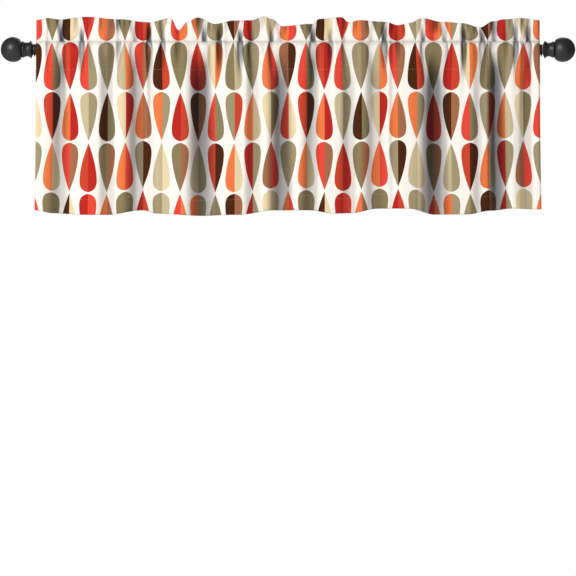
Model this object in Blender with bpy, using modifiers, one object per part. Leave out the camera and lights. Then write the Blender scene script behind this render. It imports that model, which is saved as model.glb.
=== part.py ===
"""Rod-pocket valance gathered on a telescoping curtain rod, with its wall brackets.

Metres, +Z up. The wall is the plane y = 0 and the room is at -Y. The origin is on the wall,
midway between the brackets, at the height of the rod.
"""

import math

import bmesh
import bpy

# Driving dimensions, in metres
INCH = 0.0254
ROD_SPAN = 48 * INCH  # between the two finials, with the rod pushed right in
ROD_EXTENSION = 36 * INCH  # the rod pulls out to 84 in
ROD_RADIUS = 0.5 * INCH
ROD_PROJECTION = 0.090  # wall to rod axis
GAP = 0.0003  # clearance between touching pieces

# Rod
TUBE_WALL = 0.0008
INNER_TUBE_RADIUS = 0.0108
INNER_TUBE_OVERLAP = 0.200  # left in the outer tube at full extension
BUSH_LENGTH = 0.016
BUSH_FLANGE = 0.0010
PLUG_LENGTH = 0.030
STUD_RADIUS = 0.0030
STUD_DEPTH = 0.024  # into the plug
STUD_OUTER_END = 0.046  # through the collar and into the ball

# Finial
COLLAR_PROFILE = [  # (distance out from the rod's end, radius)
    (0.0000, 0.0140),
    (0.0028, 0.0195),
    (0.0038, 0.0210),
    (0.0050, 0.0207),
    (0.0080, 0.0180),
    (0.0134, 0.0165),
    (0.0185, 0.0176),
    (0.0225, 0.0194),
    (0.0243, 0.0196),
    (0.0258, 0.0186),
    (0.0266, 0.0170),
]
BALL_RADIUS = 0.0300
BALL_CENTRE = 0.0470  # from the rod's end
BALL_SEAT_RADIUS = 0.0185  # the flat where the ball meets the collar
BALL_LOWEST_ANGLE = -36  # where the sphere ends and turns in to the seat

# Cloth
VALANCE_WIDTH = 1.204  # gathered; 54 in when flat
HEADER_HEIGHT = 2 * INCH
POCKET_TOP = 0.0215  # header seam, above the rod's axis
POCKET_BOTTOM = -0.0480  # lower seam
HEM_HEIGHT = 1.5 * INCH
SIDE_HEM_WIDTH = 1.0 * INCH
VALANCE_BOTTOM = -0.3880
CLOTH_THICKNESS = 0.0012
DOUBLE_CLOTH = 0.0024
POCKET_ROUND = 0.0162  # outer radius of the pocket over the rod
POCKET_WALL = 0.0016
POCKET_WRAP = 25  # degrees below the horizontal to which the cloth keeps to the round
STITCH_BAND = 0.0008  # height of a row of thread
HEADER_FOLD_SHARE = 0.45  # the header's folds are shallower than the skirt's
SEAM_FOLD_SHARE = 0.10  # the lower seam runs almost straight under the rod
SKIRT_DROP = 0.0035  # the skirt starts this far below the seam it swings on
FOLDS = [  # (place across the width, how far the cloth stands forward), chosen one by one
    (-0.602, 0.002),
    (-0.584, 0.006),
    (-0.546, -0.009),
    (-0.513, 0.007),
    (-0.470, 0.008),
    (-0.431, -0.001),
    (-0.407, 0.006),
    (-0.369, -0.011),
    (-0.333, 0.006),
    (-0.278, 0.009),
    (-0.211, -0.014),
    (-0.165, 0.009),
    (-0.097, 0.011),
    (-0.035, -0.008),
    (0.016, 0.009),
    (0.051, -0.006),
    (0.099, 0.010),
    (0.140, 0.001),
    (0.171, 0.009),
    (0.214, -0.010),
    (0.276, 0.011),
    (0.333, -0.013),
    (0.374, 0.008),
    (0.422, 0.010),
    (0.482, -0.013),
    (0.525, 0.008),
    (0.568, 0.000),
    (0.602, 0.005),
]

# Brackets; the left one mirrors the right one
PLATE_THICKNESS = 0.0020
CRADLE_X = 0.6058  # middle of the cradle plate, in the bare rod beside the cloth
FLANGE_WIDTH = 0.0200
FLANGE_HEIGHT = 0.0700
FLANGE_CORNER = 0.0040
ARM_HEIGHT = 0.0220
WALL_ARM_LENGTH = 0.0600
CRADLE_BACK = -0.0240  # rear end of the cradle arm
CRADLE_LIP = 0.0045  # how high the front lip stands above the rod's axis
CRADLE_BAND = 0.0040  # metal round the rod
CLAMP_Y = -0.0400
CLAMP_RADIUS = 0.0025
SLOT_AHEAD = 0.0080  # on the room side of the screw, so the arm slides in by this much
SLOT_BEHIND = 0.0100  # on the wall side of the screw, so the arm slides out by this much
CLAMP_HEAD_RADIUS = 0.0048
CLAMP_HEAD_HEIGHT = 0.0026
CLAMP_LENGTH = 0.0140
NUT_HUB_RADIUS = 0.0050
NUT_HUB_HEIGHT = 0.0065
NUT_WING_SPAN = 0.0240
NUT_WING_HEIGHT = 0.0110
NUT_WING_THICKNESS = 0.0020
NUT_WING_ROOT = 0.0012  # sunk into the hub, and raised off the arm
NUT_WING_SHOULDER = 0.0055
NUT_WING_TIP = 0.0035
WING_TIP_START = -60
WING_TIP_END = 130
WALL_SCREW_X = 0.5930
WALL_SCREW_Z = 0.0235  # above and below the arm
WALL_SCREW_RADIUS = 0.0020
WALL_SCREW_HEAD_RADIUS = 0.0042
WALL_SCREW_HEAD_HEIGHT = 0.0024
WALL_SCREW_LENGTH = 0.0320
WALL_SCREW_POINT = 0.0048
ANCHOR_RADIUS = 0.0038
ANCHOR_TIP_RADIUS = 0.0030
ANCHOR_LENGTH = 0.0280
ANCHOR_RECESS = 0.0025  # the anchors are set this far below the wall's surface
HEAD_CROWN = 0.5  # a screw head's flat crown, as a share of its radius
HEAD_SHOULDER = 0.9
HEAD_SHOULDER_HEIGHT = 0.6  # as a share of the head's height

SEGMENTS = 32
SMALL_SEGMENTS = 16
SIDES = {"left": -1, "right": 1}
ROD_END = ROD_SPAN / 2
OUTER_TUBE_END = CRADLE_X + PLATE_THICKNESS / 2 + 2 * GAP


def clear_scene():
    for thing in list(bpy.data.objects):
        bpy.data.objects.remove(thing, do_unlink=True)


def new_collection(name):
    collection = bpy.data.collections.new(name)
    bpy.context.scene.collection.children.link(collection)
    return collection


def make_material(name, colour, roughness, metallic=0.0):
    material = bpy.data.materials.new(name)
    material.use_nodes = True
    shader = material.node_tree.nodes["Principled BSDF"]
    shader.inputs["Base Color"].default_value = (*colour, 1.0)
    shader.inputs["Roughness"].default_value = roughness
    shader.inputs["Metallic"].default_value = metallic
    return material


def place(name, data, material, location=(0, 0, 0), rotation=(0, 0, 0), parent=None):
    """Put new data into the scene as one named sub-part."""
    thing = bpy.data.objects.new(name, data)
    PARTS.objects.link(thing)
    if material:
        data.materials.append(material)
    thing.location = location
    thing.rotation_euler = [math.radians(angle) for angle in rotation]
    thing.parent = parent
    return thing


def turned(name, profile, material, location, side=1, segments=SEGMENTS, closed=False, turn=None):
    """Turn a profile of (height, radius) points, top to bottom, about its own axis.

    The axis is laid along X, with the top pointing out on the given side, unless turn says how.
    """
    mesh = bpy.data.meshes.new(name)
    corners = [(radius, 0.0, height) for height, radius in profile]
    edges = [(i, i + 1) for i in range(len(corners) - 1)]
    if closed:
        edges.append((len(corners) - 1, 0))
    mesh.from_pydata(corners, edges, [])
    thing = place(name, mesh, material, location, turn or (0, 90 * side, 0))
    screw = thing.modifiers.new("turn", "SCREW")
    screw.axis = "Z"
    screw.steps = screw.render_steps = segments
    screw.use_merge_vertices = True
    screw.merge_threshold = 0.00001
    screw.use_smooth_shade = True
    return thing


def sleeve(length, outer, inner, top=0.0):
    """Closed profile of a plain tube, from its top down the outer side and back up the bore."""
    return [(top, outer), (top - length, outer), (top - length, inner), (top, inner)]


def prism(name, outlines, half_depth, material, location=(0, 0, 0), rotation=(0, 0, 0), parent=None):
    """Flat outlines, holes included, filled and extruded both ways along local Z."""
    curve = bpy.data.curves.new(name, "CURVE")
    curve.dimensions = "2D"
    curve.fill_mode = "BOTH"
    curve.extrude = half_depth
    for outline in outlines:
        spline = curve.splines.new("POLY")
        spline.points.add(len(outline) - 1)
        for point, (u, v) in zip(spline.points, outline):
            point.co = (u, v, 0, 1)
        spline.use_cyclic_u = True
    return place(name, curve, material, location, rotation, parent)


def as_mesh(thing):
    """Swap a curve object for the welded mesh that it draws, so that it can be cut or joined."""
    bpy.context.view_layer.update()
    shown = thing.evaluated_get(bpy.context.evaluated_depsgraph_get())
    mesh = bpy.data.meshes.new_from_object(shown)
    welder = bmesh.new()
    welder.from_mesh(mesh)
    bmesh.ops.remove_doubles(welder, verts=welder.verts, dist=0.000005)
    welder.to_mesh(mesh)
    welder.free()
    name, matrix, parent = thing.name, thing.matrix_world.copy(), thing.parent
    bpy.data.objects.remove(thing, do_unlink=True)
    solid = bpy.data.objects.new(name, mesh)
    PARTS.objects.link(solid)
    solid.matrix_world = matrix
    solid.parent = parent
    return solid


def combine(target, tool, operation):
    """Cut or join another shape, which is kept out of sight with the cutters."""
    tool.hide_render = True
    tool.display_type = "WIRE"
    PARTS.objects.unlink(tool)
    CUTTERS.objects.link(tool)
    boolean = target.modifiers.new(operation.lower(), "BOOLEAN")
    boolean.operation = operation
    boolean.object = tool
    boolean.solver = "EXACT"
    return target


def arc(centre, radius, start, end, steps):
    """Points along an arc, angles in degrees."""
    angles = [math.radians(start + (end - start) * i / steps) for i in range(steps + 1)]
    return [(centre[0] + radius * math.cos(a), centre[1] + radius * math.sin(a)) for a in angles]


def rounded_box(u0, u1, v0, v1, corner, steps=4):
    """Rectangle with rounded corners, counter-clockwise."""
    points = arc((u1 - corner, v1 - corner), corner, 0, 90, steps)
    points += arc((u0 + corner, v1 - corner), corner, 90, 180, steps)
    points += arc((u0 + corner, v0 + corner), corner, 180, 270, steps)
    points += arc((u1 - corner, v0 + corner), corner, 270, 360, steps)
    return points


def along_x():
    """Rotation that turns a flat outline's (u, v) to (y, z), with its depth along X."""
    return (90, 0, 90)


# Cloth

def forward_at(x):
    """How far the cloth stands forward at x: smooth steps between the listed folds."""
    if x <= FOLDS[0][0]:
        return FOLDS[0][1]
    for (x0, f0), (x1, f1) in zip(FOLDS, FOLDS[1:]):
        if x <= x1:
            ease = (1 - math.cos(math.pi * (x - x0) / (x1 - x0))) / 2
            return f0 + (f1 - f0) * ease
    return FOLDS[-1][1]


def gathered_layer(name, x0, x1, z0, z1, thickness, material, share=1.0, steps=110, parent=None):
    """A stretch of gathered cloth: the fold line seen from above, thickened and raised z0 to z1."""
    xs = [x0 + (x1 - x0) * i / steps for i in range(steps + 1)]
    front = [(x, -share * forward_at(x) - thickness / 2) for x in xs]
    back = [(x, y + thickness) for x, y in reversed(front)]
    z_origin = parent.location.z if parent else 0.0
    y_origin = 0.0 if parent else -ROD_PROJECTION
    location = (0, y_origin, (z0 + z1) / 2 - z_origin)
    return prism(name, [front + back], (z1 - z0) / 2, material, location, parent=parent)


def pocket_outline(round_radius, bottom, half_seam):
    """Cross-section round the rod: a round back and top, drawn in to the lower seam."""
    upper = arc((0, 0), round_radius, -POCKET_WRAP, 180 + POCKET_WRAP, 22)
    return upper + [(-half_seam, bottom), (half_seam, bottom)]


def build_cloth():
    half = VALANCE_WIDTH / 2
    header_top = POCKET_TOP + HEADER_HEIGHT
    gathered_layer(
        "header_frill", -half, half, POCKET_TOP + STITCH_BAND + GAP, header_top, DOUBLE_CLOTH, CLOTH,
        share=HEADER_FOLD_SHARE,
    )
    gathered_layer(
        "header_seam_thread", -half, half, POCKET_TOP, POCKET_TOP + STITCH_BAND, CLOTH_THICKNESS, THREAD,
        share=HEADER_FOLD_SHARE, steps=60,
    )
    pocket_floor = POCKET_BOTTOM + GAP + STITCH_BAND
    outer = pocket_outline(POCKET_ROUND, pocket_floor, DOUBLE_CLOTH)
    inner_seam = DOUBLE_CLOTH - POCKET_WALL / 2
    inner = pocket_outline(POCKET_ROUND - POCKET_WALL, pocket_floor + POCKET_WALL, inner_seam)
    prism("rod_pocket", [outer, inner], half, CLOTH, (0, -ROD_PROJECTION, 0), along_x())

    gathered_layer(
        "pocket_seam_thread", -half, half, POCKET_BOTTOM - STITCH_BAND, POCKET_BOTTOM, CLOTH_THICKNESS,
        THREAD, share=SEAM_FOLD_SHARE, steps=60,
    )

    swing = bpy.data.objects.new("skirt_swing_axis", None)
    swing.location = (0, -ROD_PROJECTION, POCKET_BOTTOM)
    PARTS.objects.link(swing)
    skirt_top = POCKET_BOTTOM - SKIRT_DROP
    hem_top = VALANCE_BOTTOM + HEM_HEIGHT
    skirt_bottom = hem_top + STITCH_BAND + GAP
    side_edge = half - SIDE_HEM_WIDTH
    stitch_edge = side_edge - STITCH_BAND - GAP
    gathered_layer(
        "valance_skirt", -stitch_edge + GAP, stitch_edge - GAP, skirt_bottom, skirt_top,
        CLOTH_THICKNESS, CLOTH, parent=swing,
    )
    gathered_layer(
        "hem_stitching", -half, half, hem_top, hem_top + STITCH_BAND, CLOTH_THICKNESS, THREAD,
        steps=60, parent=swing,
    )
    gathered_layer(
        "bottom_hem", -half, half, VALANCE_BOTTOM, hem_top - GAP, DOUBLE_CLOTH, CLOTH, parent=swing,
    )
    for side, sign in SIDES.items():
        ends = sorted((sign * side_edge, sign * half))
        gathered_layer(
            "side_hem_" + side, *ends, skirt_bottom, skirt_top, DOUBLE_CLOTH, CLOTH, steps=6, parent=swing,
        )
        ends = sorted((sign * stitch_edge, sign * (side_edge - GAP)))
        gathered_layer(
            "side_stitching_" + side, *ends, skirt_bottom, skirt_top, CLOTH_THICKNESS, THREAD, steps=1,
            parent=swing,
        )


# Rod and finials

def build_rod():
    axis = -ROD_PROJECTION
    bore = ROD_RADIUS - TUBE_WALL
    left_end = -ROD_END + GAP
    turned(
        "outer_rod_tube", sleeve(OUTER_TUBE_END - left_end, ROD_RADIUS, bore), BLACK_METAL,
        (OUTER_TUBE_END, axis, 0), closed=True,
    )
    inner_length = ROD_EXTENSION + INNER_TUBE_OVERLAP
    turned(
        "inner_rod_tube",
        sleeve(inner_length, INNER_TUBE_RADIUS, INNER_TUBE_RADIUS - TUBE_WALL),
        BLACK_METAL, (ROD_END - GAP, axis, 0), closed=True,
    )
    bush_bore = INNER_TUBE_RADIUS + GAP
    bush_top = BUSH_FLANGE + GAP
    turned(
        "glide_bush",
        [
            (bush_top, ROD_RADIUS - GAP),
            (GAP, ROD_RADIUS - GAP),
            (GAP, bore - GAP),
            (-BUSH_LENGTH, bore - GAP),
            (-BUSH_LENGTH, bush_bore),
            (bush_top, bush_bore),
        ],
        PLASTIC, (OUTER_TUBE_END, axis, 0), segments=24, closed=True,
    )
    bores = {"left": bore, "right": INNER_TUBE_RADIUS - TUBE_WALL}
    for side, sign in SIDES.items():
        thread_hole = STUD_RADIUS + GAP
        turned(
            "end_plug_" + side, sleeve(PLUG_LENGTH, bores[side] - GAP, thread_hole, -GAP), PLASTIC,
            (sign * ROD_END, axis, 0), sign, SMALL_SEGMENTS, closed=True,
        )
        turned(
            "finial_stud_" + side,
            [
                (STUD_OUTER_END, 0),
                (STUD_OUTER_END, STUD_RADIUS),
                (-STUD_DEPTH, STUD_RADIUS),
                (-STUD_DEPTH, 0),
            ],
            STEEL, (sign * ROD_END, axis, 0), sign, SMALL_SEGMENTS,
        )
        rim = [(distance, radius) for distance, radius in reversed(COLLAR_PROFILE)]
        turned(
            "finial_collar_" + side,
            rim + [(0, thread_hole), (COLLAR_PROFILE[-1][0], thread_hole)],
            BLACK_RESIN, (sign * ROD_END, axis, 0), sign, closed=True,
        )
        build_ball("finial_ball_" + side, sign)


def build_ball(name, sign):
    """Ball with a flat seat on the collar and a blind hole for the stud."""
    seat = COLLAR_PROFILE[-1][0] + GAP
    outer = [(BALL_CENTRE + v, u) for u, v in arc((0, 0), BALL_RADIUS, 90, BALL_LOWEST_ANGLE, 12)]
    outer[0] = (BALL_CENTRE + BALL_RADIUS, 0)
    hole_top = STUD_OUTER_END + GAP
    hole = [(seat, STUD_RADIUS + GAP), (hole_top, STUD_RADIUS + GAP), (hole_top, 0)]
    profile = outer + [(seat, BALL_SEAT_RADIUS)] + hole
    turned(name, profile, BLACK_RESIN, (sign * ROD_END, -ROD_PROJECTION, 0), sign)


# Brackets

def build_wall_plate(side, sign):
    wall_arm_x = sign * (CRADLE_X - PLATE_THICKNESS - GAP)
    outboard = abs(wall_arm_x) + PLATE_THICKNESS / 2
    flange_ends = sorted((sign * outboard, sign * (outboard - FLANGE_WIDTH)))
    flange = rounded_box(*flange_ends, -FLANGE_HEIGHT / 2, FLANGE_HEIGHT / 2, FLANGE_CORNER)
    plate = as_mesh(prism(
        "wall_plate_" + side, [flange], PLATE_THICKNESS / 2, None,
        (0, -PLATE_THICKNESS / 2, 0), (90, 0, 0),
    ))
    half = ARM_HEIGHT / 2
    root = -PLATE_THICKNESS / 2
    arm = [(root, -half), (root, half)]
    arm += arc((half - WALL_ARM_LENGTH, 0), half, 90, 270, 12)
    arm_plate = as_mesh(prism(
        "wall_arm_shape_" + side, [arm], PLATE_THICKNESS / 2, None, (wall_arm_x, 0, 0), along_x(),
    ))
    combine(plate, arm_plate, "UNION")
    plate.data.materials.append(BLACK_METAL)
    hole = drill("clamp_hole_" + side, CLAMP_RADIUS + GAP, (wall_arm_x, CLAMP_Y, 0), (0, 90, 0))
    combine(plate, hole, "DIFFERENCE")
    for level, rise in (("upper", 1), ("lower", -1)):
        spot = (sign * WALL_SCREW_X, -PLATE_THICKNESS / 2, rise * WALL_SCREW_Z)
        hole = drill("wall_hole_" + side + "_" + level, WALL_SCREW_RADIUS + GAP, spot, (90, 0, 0))
        combine(plate, hole, "DIFFERENCE")


def drill(name, radius, location, rotation):
    """Cylinder that cuts a round hole through a plate."""
    mesh = bpy.data.meshes.new(name)
    shape = bmesh.new()
    bmesh.ops.create_cone(
        shape, cap_ends=True, segments=SMALL_SEGMENTS, radius1=radius, radius2=radius,
        depth=4 * PLATE_THICKNESS,
    )
    shape.to_mesh(mesh)
    shape.free()
    return place(name, mesh, None, location, rotation)


def build_cradle_arm(side, sign):
    """Flat arm with a clamp slot at the wall end and an open-topped hook under the rod."""
    axis = -ROD_PROJECTION
    seat = ROD_RADIUS + GAP
    outside = seat + CRADLE_BAND
    half = ARM_HEIGHT / 2
    tangent = math.degrees(math.asin(half / outside))
    outline = [(axis + seat, half)]
    outline += arc((CRADLE_BACK - half, 0), half, 90, -90, 12)
    outline += arc((axis, 0), outside, -tangent, -180, 18)
    outline += arc((axis - seat - CRADLE_BAND / 2, CRADLE_LIP), CRADLE_BAND / 2, 180, 0, 6)
    outline += arc((axis, 0), seat, -180, 0, 20)
    half_slot = CLAMP_RADIUS + GAP
    slot = arc((CLAMP_Y + SLOT_BEHIND, 0), half_slot, 90, -90, 8)
    slot += arc((CLAMP_Y - SLOT_AHEAD, 0), half_slot, -90, -270, 8)
    prism(
        "cradle_arm_" + side, [outline, slot], PLATE_THICKNESS / 2, BLACK_METAL,
        (sign * CRADLE_X, 0, 0), along_x(),
    )


def pan_head(height, radius):
    """Profile of a screw's head, from the middle of its crown out to its edge."""
    return [
        (height, 0),
        (height, radius * HEAD_CROWN),
        (height * HEAD_SHOULDER_HEIGHT, radius * HEAD_SHOULDER),
        (0, radius),
    ]


def build_clamp(side, sign):
    """Screw through both arms, with its head inboard, and the wing nut outboard."""
    head_face = CRADLE_X - 1.5 * PLATE_THICKNESS - 2 * GAP
    shank = [(CLAMP_LENGTH, 0), (CLAMP_LENGTH, CLAMP_RADIUS), (0, CLAMP_RADIUS)]
    head = pan_head(CLAMP_HEAD_HEIGHT, CLAMP_HEAD_RADIUS)
    turned(
        "clamp_screw_" + side, shank + [(-height, radius) for height, radius in reversed(head)],
        STEEL, (sign * head_face, CLAMP_Y, 0), sign, SMALL_SEGMENTS,
    )
    nut_face = CRADLE_X + PLATE_THICKNESS / 2 + GAP
    hub = turned(
        "wing_nut_" + side,
        sleeve(NUT_HUB_HEIGHT, NUT_HUB_RADIUS, CLAMP_RADIUS + GAP, NUT_HUB_HEIGHT), STEEL,
        (sign * nut_face, CLAMP_Y, 0), sign, SMALL_SEGMENTS, closed=True,
    )
    inner = NUT_HUB_RADIUS - NUT_WING_ROOT
    tip_centre = (NUT_WING_SPAN / 2 - NUT_WING_TIP, NUT_WING_HEIGHT - NUT_WING_TIP)
    blade = [(inner, NUT_WING_ROOT), (NUT_HUB_RADIUS, NUT_WING_ROOT)]
    blade += arc(tip_centre, NUT_WING_TIP, WING_TIP_START, WING_TIP_END, 8)
    blade += [(inner, NUT_WING_SHOULDER)]
    for name, way in (("front", -1), ("back", 1)):
        wing = as_mesh(prism(
            "wing_shape_" + side + "_" + name, [[(way * u, v) for u, v in blade]],
            NUT_WING_THICKNESS / 2, None, (sign * nut_face, CLAMP_Y, 0), (0, 0, -90 * sign),
        ))
        combine(hub, wing, "UNION")


def build_wall_fixings(side, sign):
    for level, rise in (("upper", 1), ("lower", -1)):
        head_face = -PLATE_THICKNESS - GAP
        spot = (sign * WALL_SCREW_X, head_face, rise * WALL_SCREW_Z)
        shank = [
            (0, WALL_SCREW_RADIUS),
            (WALL_SCREW_POINT - WALL_SCREW_LENGTH, WALL_SCREW_RADIUS),
            (-WALL_SCREW_LENGTH, 0),
        ]
        turned(
            "wall_screw_" + side + "_" + level,
            pan_head(WALL_SCREW_HEAD_HEIGHT, WALL_SCREW_HEAD_RADIUS) + shank,
            STEEL, spot, segments=SMALL_SEGMENTS, turn=(90, 0, 0),
        )
        bore = WALL_SCREW_RADIUS + GAP
        turned(
            "wall_anchor_" + side + "_" + level,
            [
                (-ANCHOR_RECESS, ANCHOR_RADIUS),
                (-ANCHOR_LENGTH, ANCHOR_TIP_RADIUS),
                (-ANCHOR_LENGTH, bore),
                (-ANCHOR_RECESS, bore),
            ],
            PLASTIC, (sign * WALL_SCREW_X, 0, rise * WALL_SCREW_Z), segments=SMALL_SEGMENTS,
            closed=True, turn=(90, 0, 0),
        )


clear_scene()
PARTS = new_collection("valance_on_rod")
CUTTERS = new_collection("cutters")
BLACK_METAL = make_material("satin_black_paint", (0.022, 0.022, 0.024), 0.38)
BLACK_RESIN = make_material("satin_black_resin", (0.022, 0.022, 0.024), 0.42)
STEEL = make_material("zinc_plated_steel", (0.56, 0.57, 0.58), 0.32, 1.0)
PLASTIC = make_material("white_nylon", (0.80, 0.80, 0.77), 0.50)
CLOTH = make_material("printed_cloth", (0.62, 0.36, 0.22), 0.90)
THREAD = make_material("sewing_thread", (0.86, 0.83, 0.76), 0.75)

build_cloth()
build_rod()
for side_name, side_sign in SIDES.items():
    build_wall_plate(side_name, side_sign)
    build_cradle_arm(side_name, side_sign)
    build_clamp(side_name, side_sign)
    build_wall_fixings(side_name, side_sign)
print("built", len(PARTS.objects), "objects")
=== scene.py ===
# %% [markdown]
# # A gathered valance on a telescoping rod
#
# A valance is a short curtain. This one is a single width of printed cotton, sewn into a tunnel
# that a black rod runs through. The cloth is wider than the rod, so it gathers into soft folds,
# and the part of it that stands above the rod makes a ruffled header. The rod rests in two wall
# brackets, and a ball finial closes each end.
#
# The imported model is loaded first. It fixes every size and place, and the pieces that are built
# here fit on it.

# %% Load the frame
import math

import bmesh
import bpy
import numpy as np
from mathutils import Matrix, Vector


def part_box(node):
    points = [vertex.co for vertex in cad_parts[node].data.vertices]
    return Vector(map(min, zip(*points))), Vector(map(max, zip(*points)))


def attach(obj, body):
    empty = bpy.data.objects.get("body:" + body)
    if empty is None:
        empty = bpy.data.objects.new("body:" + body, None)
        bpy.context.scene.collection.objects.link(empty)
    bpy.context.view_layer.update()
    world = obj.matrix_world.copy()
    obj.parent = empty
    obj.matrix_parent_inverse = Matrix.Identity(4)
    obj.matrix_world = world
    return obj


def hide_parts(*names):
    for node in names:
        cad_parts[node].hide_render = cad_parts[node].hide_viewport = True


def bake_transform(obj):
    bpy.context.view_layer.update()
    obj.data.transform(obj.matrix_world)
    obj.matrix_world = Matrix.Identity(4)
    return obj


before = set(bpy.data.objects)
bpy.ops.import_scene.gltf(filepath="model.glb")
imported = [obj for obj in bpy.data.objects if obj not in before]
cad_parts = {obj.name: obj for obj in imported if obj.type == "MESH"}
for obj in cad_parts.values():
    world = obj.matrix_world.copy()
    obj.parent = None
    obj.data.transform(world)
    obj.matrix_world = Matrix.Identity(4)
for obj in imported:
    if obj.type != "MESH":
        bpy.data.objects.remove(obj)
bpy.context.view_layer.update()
MM = 0.001


def node_box(name):
    """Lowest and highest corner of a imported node, as plain numbers."""
    low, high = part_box(name)
    return [float(v) for v in low], [float(v) for v in high]


rod_low, rod_high = node_box("outer_rod_tube")
rod_y = (rod_low[1] + rod_high[1]) / 2
rod_z = (rod_low[2] + rod_high[2]) / 2
rod_radius = (rod_high[2] - rod_low[2]) / 2
print(f"rod axis at y {rod_y:.3f}, z {rod_z:.3f}, radius {rod_radius / MM:.1f} mm")

# %% [markdown]
# ## Helpers
#
# Colours are picked as sRGB hex values, the way a paint chart gives them, and one function turns
# them to the linear numbers that a shader works in. One function adds a node to a tree, sets its
# options and links or sets its inputs. Another turns lists of corners and faces into an object.

# %% Colours, nodes and meshes


def linear(hex_colour):
    """sRGB hex to linear red, green, blue, alpha."""
    parts = [int(hex_colour[i : i + 2], 16) / 255 for i in (1, 3, 5)]
    return [p / 12.92 if p <= 0.04045 else ((p + 0.055) / 1.055) ** 2.4 for p in parts] + [1.0]


def add(tree, kind, options=None, **inputs):
    """Add a node; option names are node attributes, and each input is a value or a socket.

    Inputs are named in_0, in_1 ... by place, or by their label with spaces as underscores.
    """
    node = tree.nodes.new(kind)
    for name, value in (options or {}).items():
        setattr(node, name, value)
    for name, value in inputs.items():
        place = int(name[3:]) if name.startswith("in_") else name.replace("_", " ")
        socket = node.inputs[place]
        if isinstance(value, bpy.types.NodeSocket):
            tree.links.new(value, socket)
        else:
            socket.default_value = value
    return node


def new_material(name, **surface):
    """A Principled material with the given surface values; returns material, tree and shader."""
    material = bpy.data.materials.new(name)
    material.use_nodes = True
    tree = material.node_tree
    shader = tree.nodes["Principled BSDF"]
    for label, value in surface.items():
        shader.inputs[label.replace("_", " ")].default_value = value
    return material, tree, shader


def mesh_object(name, points, faces, materials, edges=()):
    """A mesh object at the origin, with its place in its mesh."""
    mesh = bpy.data.meshes.new(name)
    mesh.from_pydata([tuple(p) for p in points], list(edges), [tuple(f) for f in faces])
    for material in materials:
        mesh.materials.append(material)
    mesh.shade_smooth()
    thing = bpy.data.objects.new(name, mesh)
    bpy.context.scene.collection.objects.link(thing)
    return thing


def grid_faces(rows, columns):
    """Four-sided faces between the points of a grid stored row by row."""
    faces = []
    for r in range(rows - 1):
        for c in range(columns - 1):
            here, below = r * columns + c, (r + 1) * columns + c
            faces.append((here, below, below + 1, here + 1))
    return faces


print("helpers ready")

# %% [markdown]
# ## The camera
#
# The valance is seen straight on, from far away through a long lens, so the rod runs level and
# both finials look alike. It fills the top third of a frame that also has room for the window
# below it, so the camera stands lower than the rod and looks level, without tilting.

# %% Camera
FRAME_WIDTH = 1.3766  # metres of wall across the picture, at the rod
CAMERA_DISTANCE = 12.0
CAMERA_DROP = 0.570  # below the rod's axis

camera_data = bpy.data.cameras.new("camera")
camera_data.sensor_width = 36.0
camera_data.lens = camera_data.sensor_width * CAMERA_DISTANCE / FRAME_WIDTH
camera_data.clip_end = 100.0
camera = bpy.data.objects.new("camera", camera_data)
camera.location = (0.0, rod_y - CAMERA_DISTANCE, rod_z - CAMERA_DROP)
camera.rotation_euler = (math.radians(90), 0, 0)
bpy.context.scene.collection.objects.link(camera)
bpy.context.scene.camera = camera
print(f"lens {camera_data.lens:.0f} mm at {CAMERA_DISTANCE:.0f} m")

# %% [markdown]
# ## The light
#
# Folds in cloth show best when one soft lamp does most of the work, from a little above and to
# one side, so that each valley falls into a gentle shade. Two weaker lamps open the shadows in
# front and behind. A bright world could light everything alike, but that washes the folds out,
# so the world is white only where the camera sees it, and dim as a light.

# %% Studio
WORLD_FILL = 0.15  # how bright the world is as a light
LAMPS = [  # (name, position, size, watts, colour)
    ("key_light", (-3.6, -6.4, 2.6), 0.9, 500, "#FFFDF8"),
    ("front_fill", (0.8, -4.0, 0.6), 2.0, 6, "#FFFFFF"),
    ("back_light", (0.5, 3.0, 1.6), 2.0, 60, "#FFFFFF"),
]
LAMP_AIM = -0.16  # height that the lamps point at, about the middle of the cloth
FLOOR_DROP = 1.75  # the floor lies this far below the rod
FLOOR_REACH = 8.0
FLOOR_GLOW = 0.5

scene = bpy.context.scene
scene.view_settings.view_transform = "Standard"
world = bpy.data.worlds.new("studio")
world.use_nodes = True
scene.world = world
sky = world.node_tree
sky.nodes.clear()
seen = add(sky, "ShaderNodeBackground", Color=linear("#FFFFFF"), Strength=1.0)
fill = add(sky, "ShaderNodeBackground", Color=linear("#F4F6FA"), Strength=WORLD_FILL)
path = add(sky, "ShaderNodeLightPath")
pick = add(
    sky, "ShaderNodeMixShader", in_0=path.outputs["Is Camera Ray"], in_1=fill.outputs[0],
    in_2=seen.outputs[0],
)
add(sky, "ShaderNodeOutputWorld", Surface=pick.outputs[0])

for name, position, size, watts, colour in LAMPS:
    data = bpy.data.lights.new(name, "AREA")
    data.size = size
    data.energy = watts
    data.color = linear(colour)[:3]
    lamp = bpy.data.objects.new(name, data)
    lamp.location = position
    aim = Vector((0.0, rod_y, LAMP_AIM)) - Vector(position)
    lamp.rotation_euler = aim.to_track_quat("-Z", "Y").to_euler()
    scene.collection.objects.link(lamp)

pale, floor_tree, floor_shader = new_material(
    "pale_floor_paint", Base_Color=linear("#F3F2EF"), Roughness=0.8, Emission_Color=linear("#F4F3F0")
)
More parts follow.
